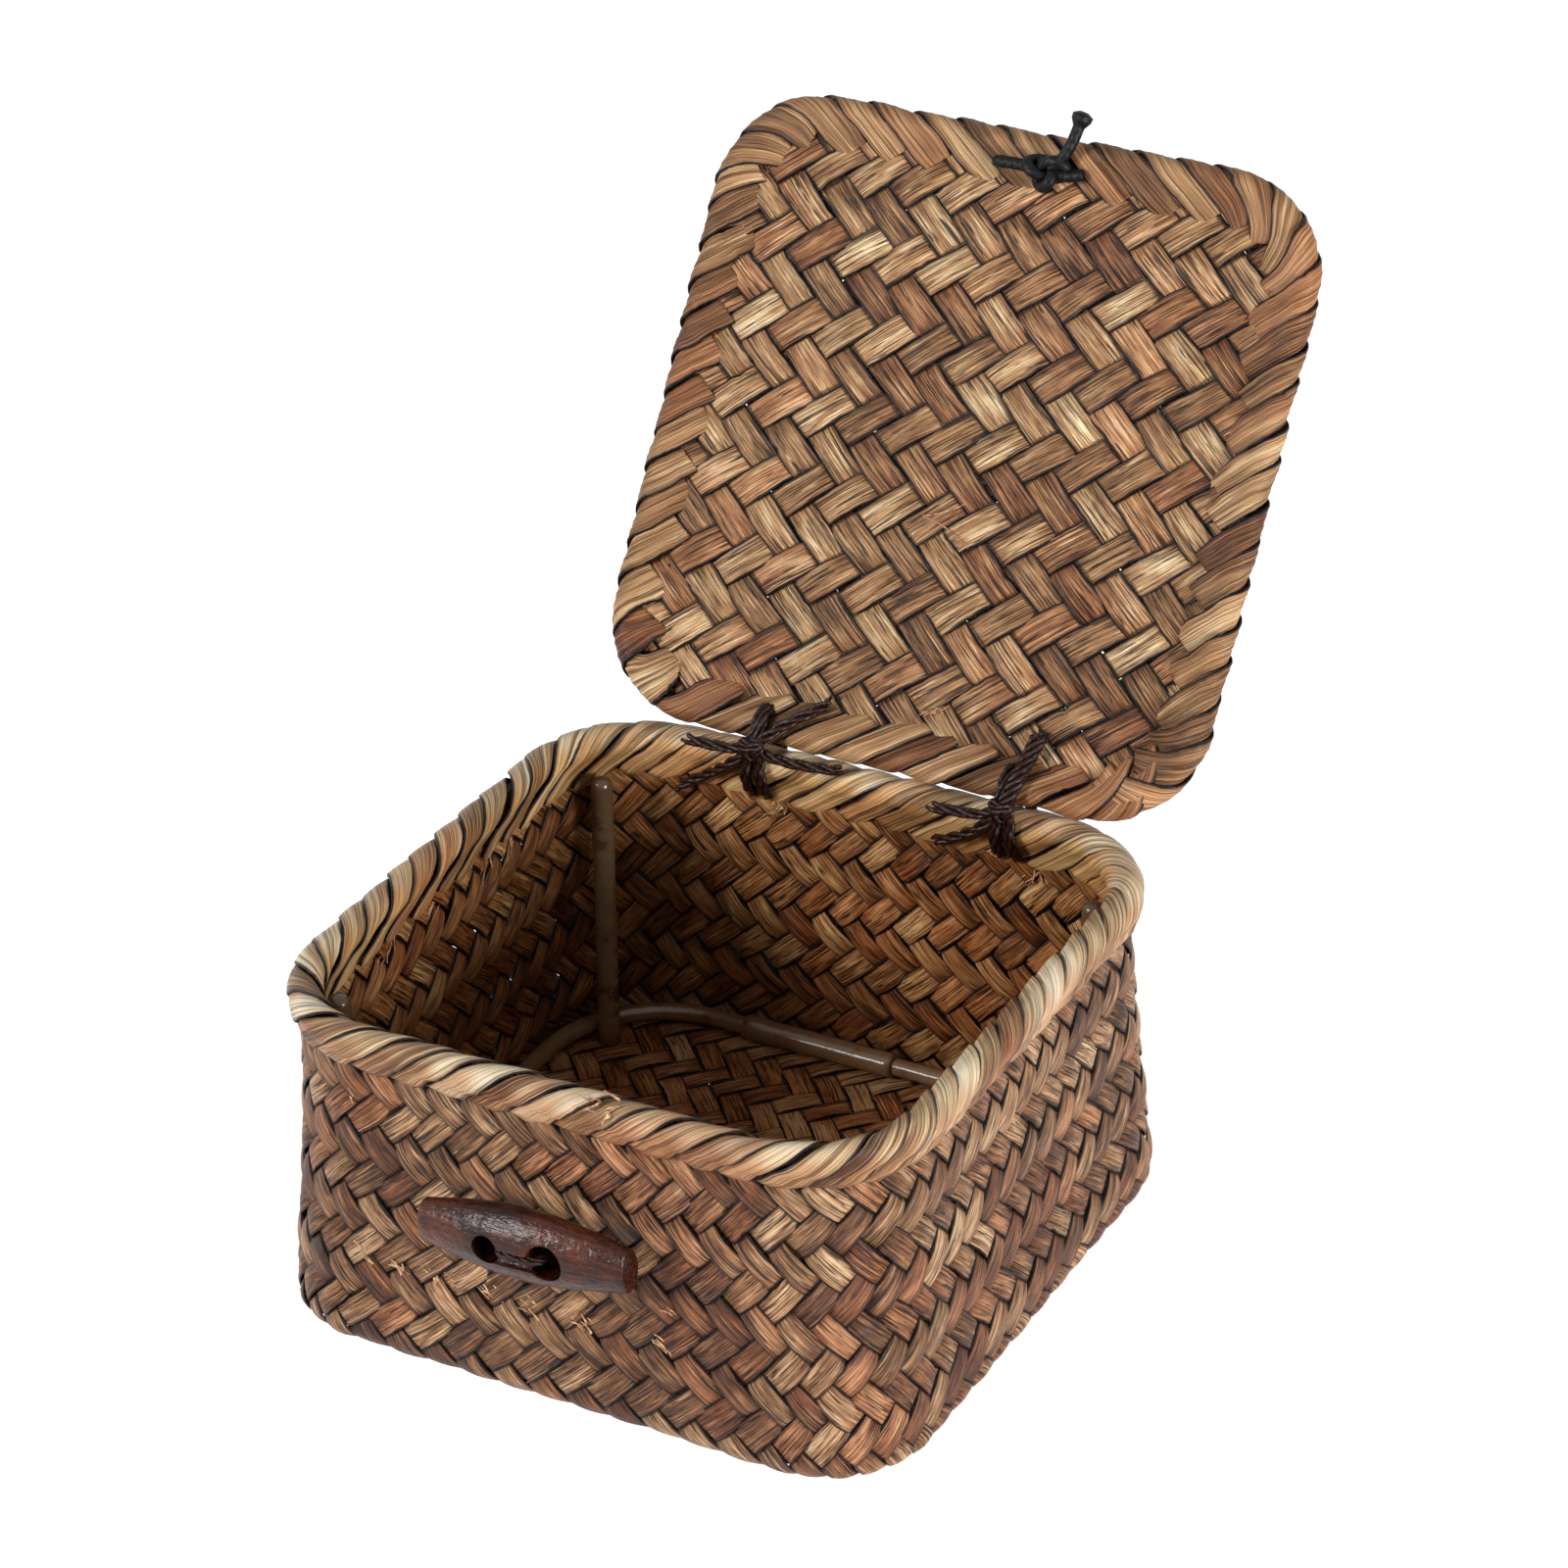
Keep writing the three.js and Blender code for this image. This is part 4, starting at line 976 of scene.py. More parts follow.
def dark_wood():
    """Stained, waxed wood with its grain along x, and painted shade in its holes."""
    n = Finish("toggle_wood")
    place = n.object_place()
    parts = n.split(place)
    grain = n.grain(parts, (110.0, 1100.0, 1100.0), 4.0)
    pores = n.grain(parts, (700.0, 2600.0, 2600.0), 2.0)
    cloud = n.noise(place, 60.0, 3.0)
    tone = n.plus(n.times(grain, 0.6), n.times(cloud, 0.5))
    colour = n.ramp(tone, tones((0.25, 0.5, 0.75), (12, 4, 3), (40, 14, 7), (100, 44, 22)))
    colour = n.mix(n.stretch(pores, 0.54, 0.66, 0.0, 0.8), colour, srgb(10, 4, 3))
    # Painted shade: the insides of the holes, in from the front face, are darkened nearly to black.
    x, depth, z = (n.plus(n.times(part, 1 / MM), -middle) for part, middle in zip(parts, TOGGLE_MIDDLE))
    off_hole = n.size(n.minus(n.size(x), TOGGLE_HOLE_SPACING / 2))
    hole_shade = n.times(n.stretch(off_hole, TOGGLE_HOLE_RADIUS, TOGGLE_HOLE_RADIUS + 0.5, 1.0, 0.0),
                        n.stretch(n.size(z), TOGGLE_HOLE_RADIUS, TOGGLE_HOLE_RADIUS + 0.8, 1.0, 0.0))
    within = n.stretch(depth, -TOGGLE_DEPTH / 2 + 0.5, -TOGGLE_DEPTH / 2 + 1.6)
    colour = n.mix(n.times(hole_shade, n.times(within, 0.9)), colour, srgb(6, 3, 2))
    height = n.plus(n.plus(grain, n.times(pores, -0.5)), n.times(n.noise(place, 480.0), 1.4))
    return n.made(colour, n.stretch(grain, 0.3, 0.7, 0.16, 0.3), 0.25, height, 0.4, 0.0005)


def cord_finish(name, dark, light, plies, roughness, gloss):
    """Twisted or braided cord: slanting plies along its own length."""
    n = Finish(name)
    along, around = n.uv()
    ply = n.off_middle(n.rest(n.plus(n.times(along, 0.5), n.times(around, plies))))
    fuzz = n.noise(n.object_place(), 1800.0, 3.0, 0.6)
    tone = n.plus(n.times(ply, -1.2), n.times(fuzz, 0.7))
    colour = n.ramp(n.plus(tone, 0.45, clamp=True), tones((0.0, 1.0), dark, light))
    return n.made(colour, roughness, gloss, n.plus(n.times(ply, -1.0), n.times(fuzz, 0.5)), 0.6, 0.0004)


def shaded_hoop_cane():
    """The hoops inside the rolled edges show only in chinks: cane painted dark, as painted shade for the
    chinks.
    """
    n = Finish("hoop_cane")
    place = n.object_place()
    fleck = n.noise(place, 900.0, 2.0, 0.6)
    tone = n.plus(n.times(n.noise(place, 70.0, 3.0, 0.6), 0.7), n.times(fleck, 0.3))
    colour = n.ramp(tone, tones((0.3, 0.5, 0.7), (30, 14, 8), (66, 42, 26), (98, 70, 46)))
    return n.made(colour, n.stretch(fleck, 0.3, 0.7, 0.4, 0.6), 0.25, tone, 0.5, 0.0005)


def dry_leaf():
    """The pale, dry inside of a leaf strip where it has split."""
    n = Finish("torn_leaf")
    fleck = n.noise(n.object_place(), 800.0, 3.0, 0.6)
    colour = n.ramp(fleck, tones((0.3, 0.5, 0.72), (96, 56, 34), (168, 122, 84), (226, 196, 156)))
    return n.made(colour, n.stretch(fleck, 0.3, 0.7, 0.45, 0.65), 0.5, fleck, 0.5, 0.0003)


outer_plait = dyed_strip("outer_plait", OUTER_TONES, 0.55, gloss=0.24)
lid_outside = dyed_strip("lid_outside", OUTER_TONES, 0.55, roughness=0.52, gloss=0.14)
floor_plait = dyed_strip("floor_plait", FLOOR_TONES, 0.45, gloss=0.16)
inner_plait = dyed_strip("inner_plait", INNER_TONES, 0.45, gloss=0.16)
lid_plait = dyed_strip("lid_plait", LID_TONES, 0.45)
rim_fold = dyed_strip("rim_fold", RIM_TONES, 0.45, end_shadow_share=0.3, roughness=0.36,
                      fold=(OUTSIDE_FOLD_SHADE, INSIDE_FOLD_SHADE), grain=0.9)
lid_fold = dyed_strip("lid_fold", LID_TONES, 0.45, end_shadow_share=0.3,
                      fold=(OUTSIDE_FOLD_SHADE, BORDER_TINT), grain=0.9)
cane_rod = cane()
toggle_wood = dark_wood()
waxed_cord = cord_finish("waxed_cord", (6, 2, 2), (52, 27, 20), 1.0, 0.3, 0.22)
black_elastic = cord_finish("black_elastic", (3, 3, 4), (20, 20, 23), 3.0, 0.42, 0.16)
hoop_cane = shaded_hoop_cane()
torn_leaf = dry_leaf()


# Elastic loop, made first

def elastic_loop():
    pivot = on_lid(0.0, ELASTIC_HOLE_Y, -LID_HALF_THICKNESS - LOOP_GAP - ELASTIC_RADIUS)
    half = ELASTIC_HOLE_SPACING / 2
    leg = [-LOOP_STRAIGHT * i / LOOP_LEG_STEPS for i in range(LOOP_LEG_STEPS)]
    route = [(-half, 0, z) for z in leg]
    route += [(half * math.cos(a), 0, -LOOP_STRAIGHT + half * math.sin(a))
              for a in np.linspace(math.pi, 2 * math.pi, LOOP_BEND_STEPS)]
    route += [(half, 0, z) for z in reversed(leg)]
    fine = even_path(np.array(route) + pivot, LOOP_STEPS)
    piece = new_mesh("elastic_loop", tube(fine, ELASTIC_RADIUS, LOOP_SIDES), black_elastic)
    belongs(piece, "closure_loop", "closure_loop")


# Basket

def build_basket():
    spacing = RIM_ROUND / WALL_STRIPS
    wall_strips = [(k, WALL_STRIP_START, Wall.end) for k in range(WALL_STRIPS)]
    floor_size = (RIM_LENGTH - FLOOR_MARGIN, RIM_DEPTH - FLOOR_MARGIN, FLOOR_CORNER)
    for rising, direction in ((True, "rising"), (False, "falling")):
        piece = plait(f"wall_plait_{direction}", Wall(), wall_strips, rising, spacing, WALL_SLOPE,
                      WALL_ROW_START, WALL_RELIEF, (outer_plait, inner_plait), WALL_SEED + rising)
        belongs(piece, "basket", "basket_weave")
        panel = panel_strips(*floor_size, (0.0, FOOT_FORWARD), spacing, WALL_SLOPE, 0.0, rising)
        piece = plait(f"floor_plait_{direction}", Floor(), panel, rising, spacing, WALL_SLOPE,
                      0.0, FLOOR_RELIEF, (floor_plait, outer_plait), FLOOR_SEED + rising)
        belongs(piece, "basket", "basket_weave")


def build_rim():
    # Up the wall's outer face, over the hoop and down its inner face.
    path = [(1.1, -6.0), (1.7, -5.0), (2.75, -3.6)] + arc_points(3.45, -38, 214, 15)
    path += [(-2.2, -4.2), (-1.75, -6.0), (-1.65, -8.0), (-1.3, -9.6)]
    pitch = RIM_ROUND / RIM_FOLDS
    folds = [(k * pitch + chance.uniform(-RIM_FOLD_JITTER, RIM_FOLD_JITTER), 1 / RIM_FOLD_SLOPE, pitch)
             for k in range(RIM_FOLDS)]
    rim = folded_edge("rim_folds", rim_place, path, folds, rim_fold, RIM_SEED, RIM_SHINGLE)
    belongs(rim, "basket", "rim_binding")


# Lid

def build_lid_panel():
    size = (LID_LENGTH - LID_PANEL_MARGIN, LID_DEPTH - LID_PANEL_MARGIN, LID_PANEL_CORNER)
    for rising, direction in ((True, "rising"), (False, "falling")):
        panel = panel_strips(*size, (-LID_PLAIT_SHIFT, LID_DEPTH / 2), LID_STRIP_SPACING, LID_SLOPE,
                             LID_ROW_START, rising)
        piece = plait(f"lid_plait_{direction}", Lid(), panel, rising, LID_STRIP_SPACING, LID_SLOPE,
                      LID_ROW_START, LID_RELIEF, (lid_plait, lid_outside), LID_SEED + rising, LID_FILL)
        belongs(piece, "lid", "lid_weave")


def lid_fold_slant(out_x, out_y):
    """How far a fold of the lid's edge leans from square, where the edge faces (out_x, out_y).

    Along the hinge the folds lean the other way, and turn over in the corner at its left."""
    if out_y >= 0:
        return math.radians(39 + 12 * out_y ** 2)
    if out_x <= 0:
        return math.radians(39 - 94 * out_y ** 2)
    return math.radians(-55 if out_x ** 2 < 0.4 else 39 + 16 * out_y ** 2)


def build_lid_edge():
    # From the panel's outer face round the hoop to its inner face.
    path = [(-6.0, -0.9), (-4.5, -1.3), (-2.2, -1.9)] + arc_points(2.75, -115, 115, 13)
    path += [(-3.0, 2.0), (-5.0, 1.55), (-7.0, 1.3), (-8.6, 0.8)]
    folds, at = [], 0.0
    while at < LID_ROUND - 4:
        out_x, out_y = (float(a[0]) for a in outline_scaled(np.array([at]), *LID_OUTLINE, LID_OUTLINE)[2:])
        pitch = LID_FOLD_PITCH + LID_FOLD_PITCH_GAIN * out_y ** 2
        is_corner = min(abs(out_x), abs(out_y)) > 0.05
        folds.append((at + chance.uniform(-LID_FOLD_JITTER, LID_FOLD_JITTER),
                      -math.tan(lid_fold_slant(out_x, out_y)),
                      pitch * (LID_CORNER_FOLD_SHARE if is_corner else 1)))
        at += pitch
    edge = folded_edge("lid_folds", lid_edge_place, path, folds, lid_fold, LID_EDGE_SEED, LID_SHINGLE)
    belongs(edge, "lid", "lid_binding")


# Rods of the inner frame

def rod(name, node, path, radius, domed=False):
    radii = radius * (1 + 0.02 * np.sin(np.arange(len(path)) * 0.9))
    if domed:
        radii[-3:] = radius * np.array([0.93, 0.75, 0.4])
    belongs(new_mesh(name, tube(path, radii, ROD_SIDES), cane_rod), "basket", node)


def build_rods():
    outline = (RIM_LENGTH - 2 * BASE_HOOP_INSET, RIM_DEPTH - 2 * BASE_HOOP_INSET, BASE_HOOP_CORNER)
    around = outline_length(*outline)
    sleeve_middle = around / 2 - SLEEVE_X
    u = np.linspace(sleeve_middle + BASE_HOOP_GAP, sleeve_middle + around - BASE_HOOP_GAP,
                    BASE_HOOP_STEPS)
    x, y, _, _ = outline_scaled(u, *outline, outline)
    rod("base_hoop_rod", "base_hoop",
        np.stack([x, y - FOOT_FORWARD, np.full_like(x, BASE_HOOP_HEIGHT)], -1), BASE_HOOP_RADIUS)
    x = np.linspace(SLEEVE_X - SLEEVE_LENGTH / 2, SLEEVE_X + SLEEVE_LENGTH / 2, SLEEVE_STEPS)
    y = np.full_like(x, outline[1] / 2 - FOOT_FORWARD)
    rod("base_hoop_tube", "base_hoop_sleeve", np.stack([x, y, np.full_like(x, BASE_HOOP_HEIGHT)], -1),
        SLEEVE_RADIUS)
    # A post's sections lie closer together in its domed head.
    share = np.concatenate([np.linspace(0, 0.965, 22), [0.985, 0.995, 1.0]])[:, None]
    for row in ("front", "back"):
        for hand, side in (("left", -1), ("right", 1)):
            foot = np.array([side * POST_FOOT_X, *POST_FEET[row]])
            head = np.array([side * POST_HEAD_X, *POST_HEADS[row]])
            rod(f"post_{row}_{hand}_rod", f"post_{row}_{hand}", foot + (head - foot) * share, POST_RADIUS,
                domed=True)


# Hinge ties

def strands(path, count, strand_radius, spread, flat, twist):
    """A bundle of twisted strands along a path, wider than thick where flat is under 1."""
    path = np.asarray(path, float)
    a, b = cross_directions(path, (1.0, 0.0, 0.0))
    along = distances(path)
    parts = []
    for i in range(count):
        angle = i / count * FULL_TURN + along * twist
        offset = a * (spread * np.cos(angle))[:, None] + b * (spread * flat * np.sin(angle))[:, None]
        parts.append(tube(path + offset, strand_radius, STRAND_SIDES))
    return parts


def frayed(route, count, strand_radius, spread):
    """A loosely twisted tail whose strands part and thin out at its end."""
    path = smooth_path(route, TAIL_STEPS)
    a, b = cross_directions(path, (1.0, 0.0, 0.0))
    share = np.linspace(0, 1, len(path))
    along = share * path_length(path)
    parts = []
    for i in range(count):
        angle = i / count * FULL_TURN + along * 0.45
        out = spread * (1 + 0.6 * np.clip(share - 0.86, 0, 1) / 0.14)
        offset = a * (out * np.cos(angle))[:, None] + b * (out * np.sin(angle))[:, None]
        length = len(path) - (i * 2) % 5
        radii = strand_radius * np.where(share > 0.94, 0.7, 1.0)
        parts.append(tube((path + offset)[:length], radii[:length], STRAND_SIDES))
    return parts


def tie_turn(x, side, lid_spread):
    """One of a tie's two turns: from the knot round the rolled rim, round the lid's edge and back."""
    wide, close = x + side * TIE_SPREAD / 2, x + side * lid_spread / 2
    heart = (x + side * TIE_HEART_SPREAD, TIE_KNOT_Y, TIE_KNOT_Z)
    route = [heart]
    for angle in np.linspace(TIE_FRONT_ANGLE, TIE_BACK_ANGLE + FULL_TURN, 12):
        sag = TIE_SAG if math.sin(angle) < 0 else 1.0
        route.append((wide + side * 0.5 * (sag - 1), RIM_DEPTH / 2 + RIM_TURN * math.cos(angle),
                      RIM_HEIGHT + RIM_TURN * sag * math.sin(angle)))
    for angle in np.linspace(TIE_BACK_ANGLE, TIE_FRONT_ANGLE, 10):
        route.append((close, HINGE_Y + LID_TURN * math.cos(angle), HINGE_Z + LID_TURN * math.sin(angle)))
    route.append(heart)
    return smooth_path(route, TIE_TURN_STEPS)


def tie_knot(middle):
    """A tight overhand knot where the turns meet, with one turn of cord about its waist."""
    x, z, y = overhand_knot(TIE_TURN_STEPS)
    a = np.linspace(0, FULL_TURN, TIE_TURN_STEPS)
    parts = []
    for loop in ((x * 0.85, y * 1.1, z * 0.75), (1.9 * np.cos(a), 1.9 * np.sin(a), 1.1 * np.cos(a + 0.6))):
        parts += strands(np.stack(loop, 1) + middle, *TIE_KNOT_BUNDLE)
    return parts


def build_tie(name, x, lid_spread, tails, node):
    knot = np.array([x, TIE_KNOT_Y, TIE_KNOT_Z])
    parts = []
    for side in (-1, 1):
        parts += strands(tie_turn(x, side, lid_spread), *TIE_TURN_BUNDLE)
    parts += tie_knot(knot)
    for route in tails:
        parts += frayed([knot] + [knot + step for step in route], *TAIL_BUNDLE)
    belongs(new_mesh(name, merged(parts), waxed_cord), "basket", node)


def lid_tail(name, x, route, bundle, node):
    """The tail of a tie that lies on the lid. route holds places in the lid's plane."""
    knot = np.array([x, TIE_KNOT_Y, TIE_KNOT_Z])
    points = [knot] + [on_lid(px - LID_SHIFT, py, pz) for px, py, pz in route]
    piece = new_mesh(name, merged(frayed(points, *bundle)), waxed_cord)
    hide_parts(node)
    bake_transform(piece)


# The tails' routes, from the knot
LEFT_TAILS = [
    [(-6, 0, -1.4), (-12, 0.2, -2.0), (-17.6, 0.4, -1.9)],
    [(-5, -0.6, -4.6), (-12, 1.6, -10.2), (-18, 2.4, -14.3), (-22, 2.4, -16.7)],
    [(6, 0.5, -1.8), (14, 0.7, -1.7), (23.3, 0.7, -0.7)],
]
RIGHT_TAILS = [
    [(-6, 0, -2.6), (-12, 0.1, -3.4), (-18, 0.2, -3.9)],
    [(-5, -0.6, -5.4), (-12, 1, -10.4), (-19, 2.2, -14.0)],
]


def build_ties():
    build_tie("left_tie", LEFT_TIE_X, LEFT_TIE_LID_SPREAD, LEFT_TAILS, "left_hinge_tie")
    build_tie("right_tie", RIGHT_TIE_X, RIGHT_TIE_LID_SPREAD, RIGHT_TAILS, "right_hinge_tie")
    lid_tail("left_tie_upper_tail", LEFT_TIE_X, [(-22.5, 0.4, 4.6), (-17.0, 5.0, 3.5), (-11.5, 9.4, 2.8)],
             LEFT_LID_TAIL_BUNDLE, "left_tie_lid_tail")
    lid_tail("right_tie_upper_tail", RIGHT_TIE_X, [(35.6, 1.2, 4.8), (36.9, 7.2, 3.9), (38.2, 13.4, 3.2)],
             RIGHT_LID_TAIL_BUNDLE, "right_tie_lid_tail")


# Toggle

def turned_toggle():
    """The toggle's body: a disc that is extruded along its length, swells at its middle, and is flattened."""
    half = TOGGLE_LENGTH / 2
    radius = TOGGLE_END_HEIGHT / 2
    end = [(half - TOGGLE_END_ROUND, radius), (half - 0.35, radius * 0.96), (half, radius * 0.86)]
    stations = [(-x, r) for x, r in reversed(end)]
    for i in range(1, TOGGLE_RINGS):
        share = i / TOGGLE_RINGS * 2 - 1
        swell = (TOGGLE_HEIGHT / 2 - radius) * math.cos(share * math.pi / 2)
        stations.append((share * (half - TOGGLE_END_ROUND), radius + swell))
    stations += end
    deselect()
    bpy.ops.mesh.primitive_circle_add(vertices=40, radius=stations[0][1] * MM, fill_type="NGON",
                                      location=(-half * MM, 0, 0), rotation=(0, math.pi / 2, 0))
    toggle = bpy.context.object
    toggle.name = toggle.data.name = "wooden_toggle"
    bpy.ops.object.transform_apply(location=True, rotation=True, scale=True)
    bpy.ops.object.mode_set(mode="EDIT")
    bpy.ops.mesh.select_all(action="SELECT")
    for (x0, r0), (x1, r1) in zip(stations, stations[1:]):
        bpy.ops.mesh.extrude_region_move(TRANSFORM_OT_translate={"value": ((x1 - x0) * MM, 0, 0)})
        bpy.ops.transform.resize(value=(1, r1 / r0, r1 / r0), center_override=(x1 * MM, 0, 0))
    bpy.ops.mesh.select_all(action="SELECT")
    bpy.ops.transform.resize(value=(1, TOGGLE_DEPTH / TOGGLE_HEIGHT, 1), center_override=(0, 0, 0))
    bpy.ops.mesh.normals_make_consistent(inside=False)
    bpy.ops.object.mode_set(mode="OBJECT")
    return toggle


def bore_toggle(toggle):
    """Cuts the two holes, and the groove in which the cord lies between them."""
    hole_x = TOGGLE_HOLE_SPACING / 2 * MM
    along_y, along_x = (math.pi / 2, 0, 0), (0, math.pi / 2, 0)
    cutters = []
    for radius, length, place, turn in (
        (TOGGLE_HOLE_RADIUS, TOGGLE_CUT_LENGTH, (-hole_x, 0, 0), along_y),
        (TOGGLE_WORN_HOLE_RADIUS, TOGGLE_CUT_LENGTH, (hole_x, 0, 0), along_y),
        (TOGGLE_GROOVE_RADIUS, TOGGLE_HOLE_SPACING,
         (0, -TOGGLE_DEPTH / 2 * MM, -TOGGLE_CORD_DROP * MM), along_x),
    ):
        deselect()
        bpy.ops.mesh.primitive_cylinder_add(vertices=32, radius=radius * MM, depth=length * MM,
                                            location=place, rotation=turn)
        cutters.append(bpy.context.object)
    for cutter in cutters:
        pick(toggle)
        cut = toggle.modifiers.new("cut", "BOOLEAN")
        cut.operation = "DIFFERENCE"
        cut.object = cutter
        cut.solver = "EXACT"
        bpy.ops.object.modifier_apply(modifier=cut.name)
    for cutter in cutters:
        bpy.data.objects.remove(cutter)


def build_toggle():
    toggle = turned_toggle()
    bore_toggle(toggle)
    bevel = toggle.modifiers.new("soft_edges", "BEVEL")
    bevel.width = TOGGLE_SOFT_EDGE * MM
    bevel.segments = 3
    bevel.limit_method = "ANGLE"
    bevel.angle_limit = TOGGLE_SHARP_ANGLE
    pick(toggle)
    bpy.ops.object.modifier_apply(modifier=bevel.name)
    bpy.ops.object.shade_smooth_by_angle(angle=TOGGLE_SHARP_ANGLE)
    toggle.rotation_euler = (0, -TOGGLE_TILT, 0)
    toggle.location = Vector(TOGGLE_MIDDLE) * MM
    bpy.ops.object.transform_apply(location=True, rotation=True, scale=True)
    toggle.data.materials.clear()
    toggle.data.materials.append(toggle_wood)
    belongs(toggle, "toggle", "toggle")


def build_toggle_cord():
    """Cord through the holes, its neck, and the knot inside the wall."""
    front, back = -TOGGLE_DEPTH / 2 + 1.7, TOGGLE_DEPTH / 2 + 1.2
    leg, drop = TOGGLE_HOLE_SPACING / 2 - 1.9, -TOGGLE_CORD_DROP
    half_ring = [(0, front, drop), (leg * 0.6, front, drop), (leg, front + 1.6, drop), (leg, 0, drop),
                 (leg, back - 1.2, 0), (leg * 0.6, back, 0), (0, back + 0.2, 0)]
    parts = []
    for side in (-1, 1):
        parts += strands(smooth_path([(side * x, y, z) for x, y, z in half_ring], 40), *TOGGLE_RING_BUNDLE)
    neck_end = back + 5.2
    neck = smooth_path([(0, back - 0.5, 0), (0, back + 2, 0), (0, neck_end, 0)], 20)
    parts += strands(neck, *TOGGLE_NECK_BUNDLE)
    angles = np.linspace(0, FULL_TURN, 32)
    for turn, radius in ((0.0, 2.6), (1.1, 2.3), (2.1, 2.0)):
        ringlet = np.stack([radius * np.cos(angles), neck_end + 1.6 + 0.8 * np.sin(angles + turn),
                            radius * np.sin(angles)], 1)
        parts += strands(ringlet, *TOGGLE_KNOT_BUNDLE)
    vertices, faces, uvs = merged(parts)
    tilt = np.array(Matrix.Rotation(-TOGGLE_TILT, 3, "Y"))
    vertices = vertices @ tilt.T + np.array(TOGGLE_MIDDLE)
    cord = new_mesh("toggle_cord_ring", (vertices, faces, uvs), waxed_cord)
    belongs(cord, "toggle", "toggle_cord")


# Closure knot

def build_closure_knot():
    mx, my, mz = KNOT_MIDDLE
    hole = ELASTIC_HOLE_SPACING / 2
    x, y, z = overhand_knot(60)
    knot = even_path(np.stack([mx + x * 1.6, my + y * 1.15, mz + z * 1.4], 1), 90)
    lead = [(-hole, ELASTIC_HOLE_Y, -2.6), (-hole, ELASTIC_HOLE_Y, 0.5), (-hole + 1.3, ELASTIC_HOLE_Y, 2.5),
            (0, ELASTIC_HOLE_Y, 2.9), (3.8, 131.6, 4.0)]
    second = [(hole, ELASTIC_HOLE_Y, -2.6), (hole, ELASTIC_HOLE_Y, 3.5)]
    short = [(mx + 2, 131.4, 4.0), (11.5, 131.4, 3.6), (15.2, 132.4, 3.4)]
    routes = [knot, smooth_path(lead, 30), smooth_path(second, 12), smooth_path(short, 16)]
    parts = [tube(on_lid(*route.T), KNOT_CORD_RADIUS, KNOT_CORD_SIDES) for route in routes]
    piece = new_mesh("closure_knot_cord", merged(parts), black_elastic)
    belongs(piece, "lid", "closure_knot")
    tuple(on_lid(0.0, 132.0, 1.0) * MM)
    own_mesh(piece)


def build_closure_tail():
    """The elastic's longer cut end, which has frayed into a knob."""
    mx = KNOT_MIDDLE[0]
    route = smooth_path([(mx + 1.0, 132.4, 4.6), (mx + 3.3, 134.4, 5.4), (mx + 5.4, 138.6, 6.3),
                         (mx + 6.8, 145.4, 6.9)], TAIL_STEPS)
    radii = np.full(TAIL_STEPS, KNOT_CORD_RADIUS)
    radii[30:] = np.interp(np.arange(10), [0, 4, 7, 9], [KNOT_CORD_RADIUS, 2.3, 2.4, 1.0])
    tail = new_mesh("closure_upper_tail", tube(on_lid(*route.T), radii, KNOT_CORD_SIDES), black_elastic)
    belongs(tail, "lid", "closure_tail")
    tuple(on_lid(0.0, 137.0, 2.0) * MM)
    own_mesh(tail)


# Loose fibres

def rim_surface(u, down):
    """The rolled edge from its top outwards (down above 0) or inwards (below 0)."""
    angle = math.pi / 2 - np.asarray(down, float) / RIM_ROLL
    out, up = RIM_ROLL * np.cos(angle), RIM_ROLL * np.sin(angle)
    point = rim_place(u, out, up)
    normal = rim_place(u, out * 1.2, up * 1.2) - point
    return point, normal / np.linalg.norm(normal, axis=-1)[..., None]


def inner_wall(u, down):
    point, normal = Wall()(u, down)
    return point, -normal


def lid_face(u, down):
    return Lid()(u - LID_PLAIT_SHIFT, down)


def fibre(luck, surface, u, down, heading, length, lift, radius):
    """A split fibre whose root lies in the surface and whose tip stands off it."""
    share = np.linspace(0, 1, 9)
    bend = luck.uniform(-0.3, 0.3) * length * share ** 2
    point, normal = surface(u + length * math.cos(heading) * share - bend * math.sin(heading),
                            down + length * math.sin(heading) * share + bend * math.cos(heading))
    return tube(point + normal * (0.8 + lift * share ** 1.5)[:, None], radius * (1 - 0.65 * share), 5)


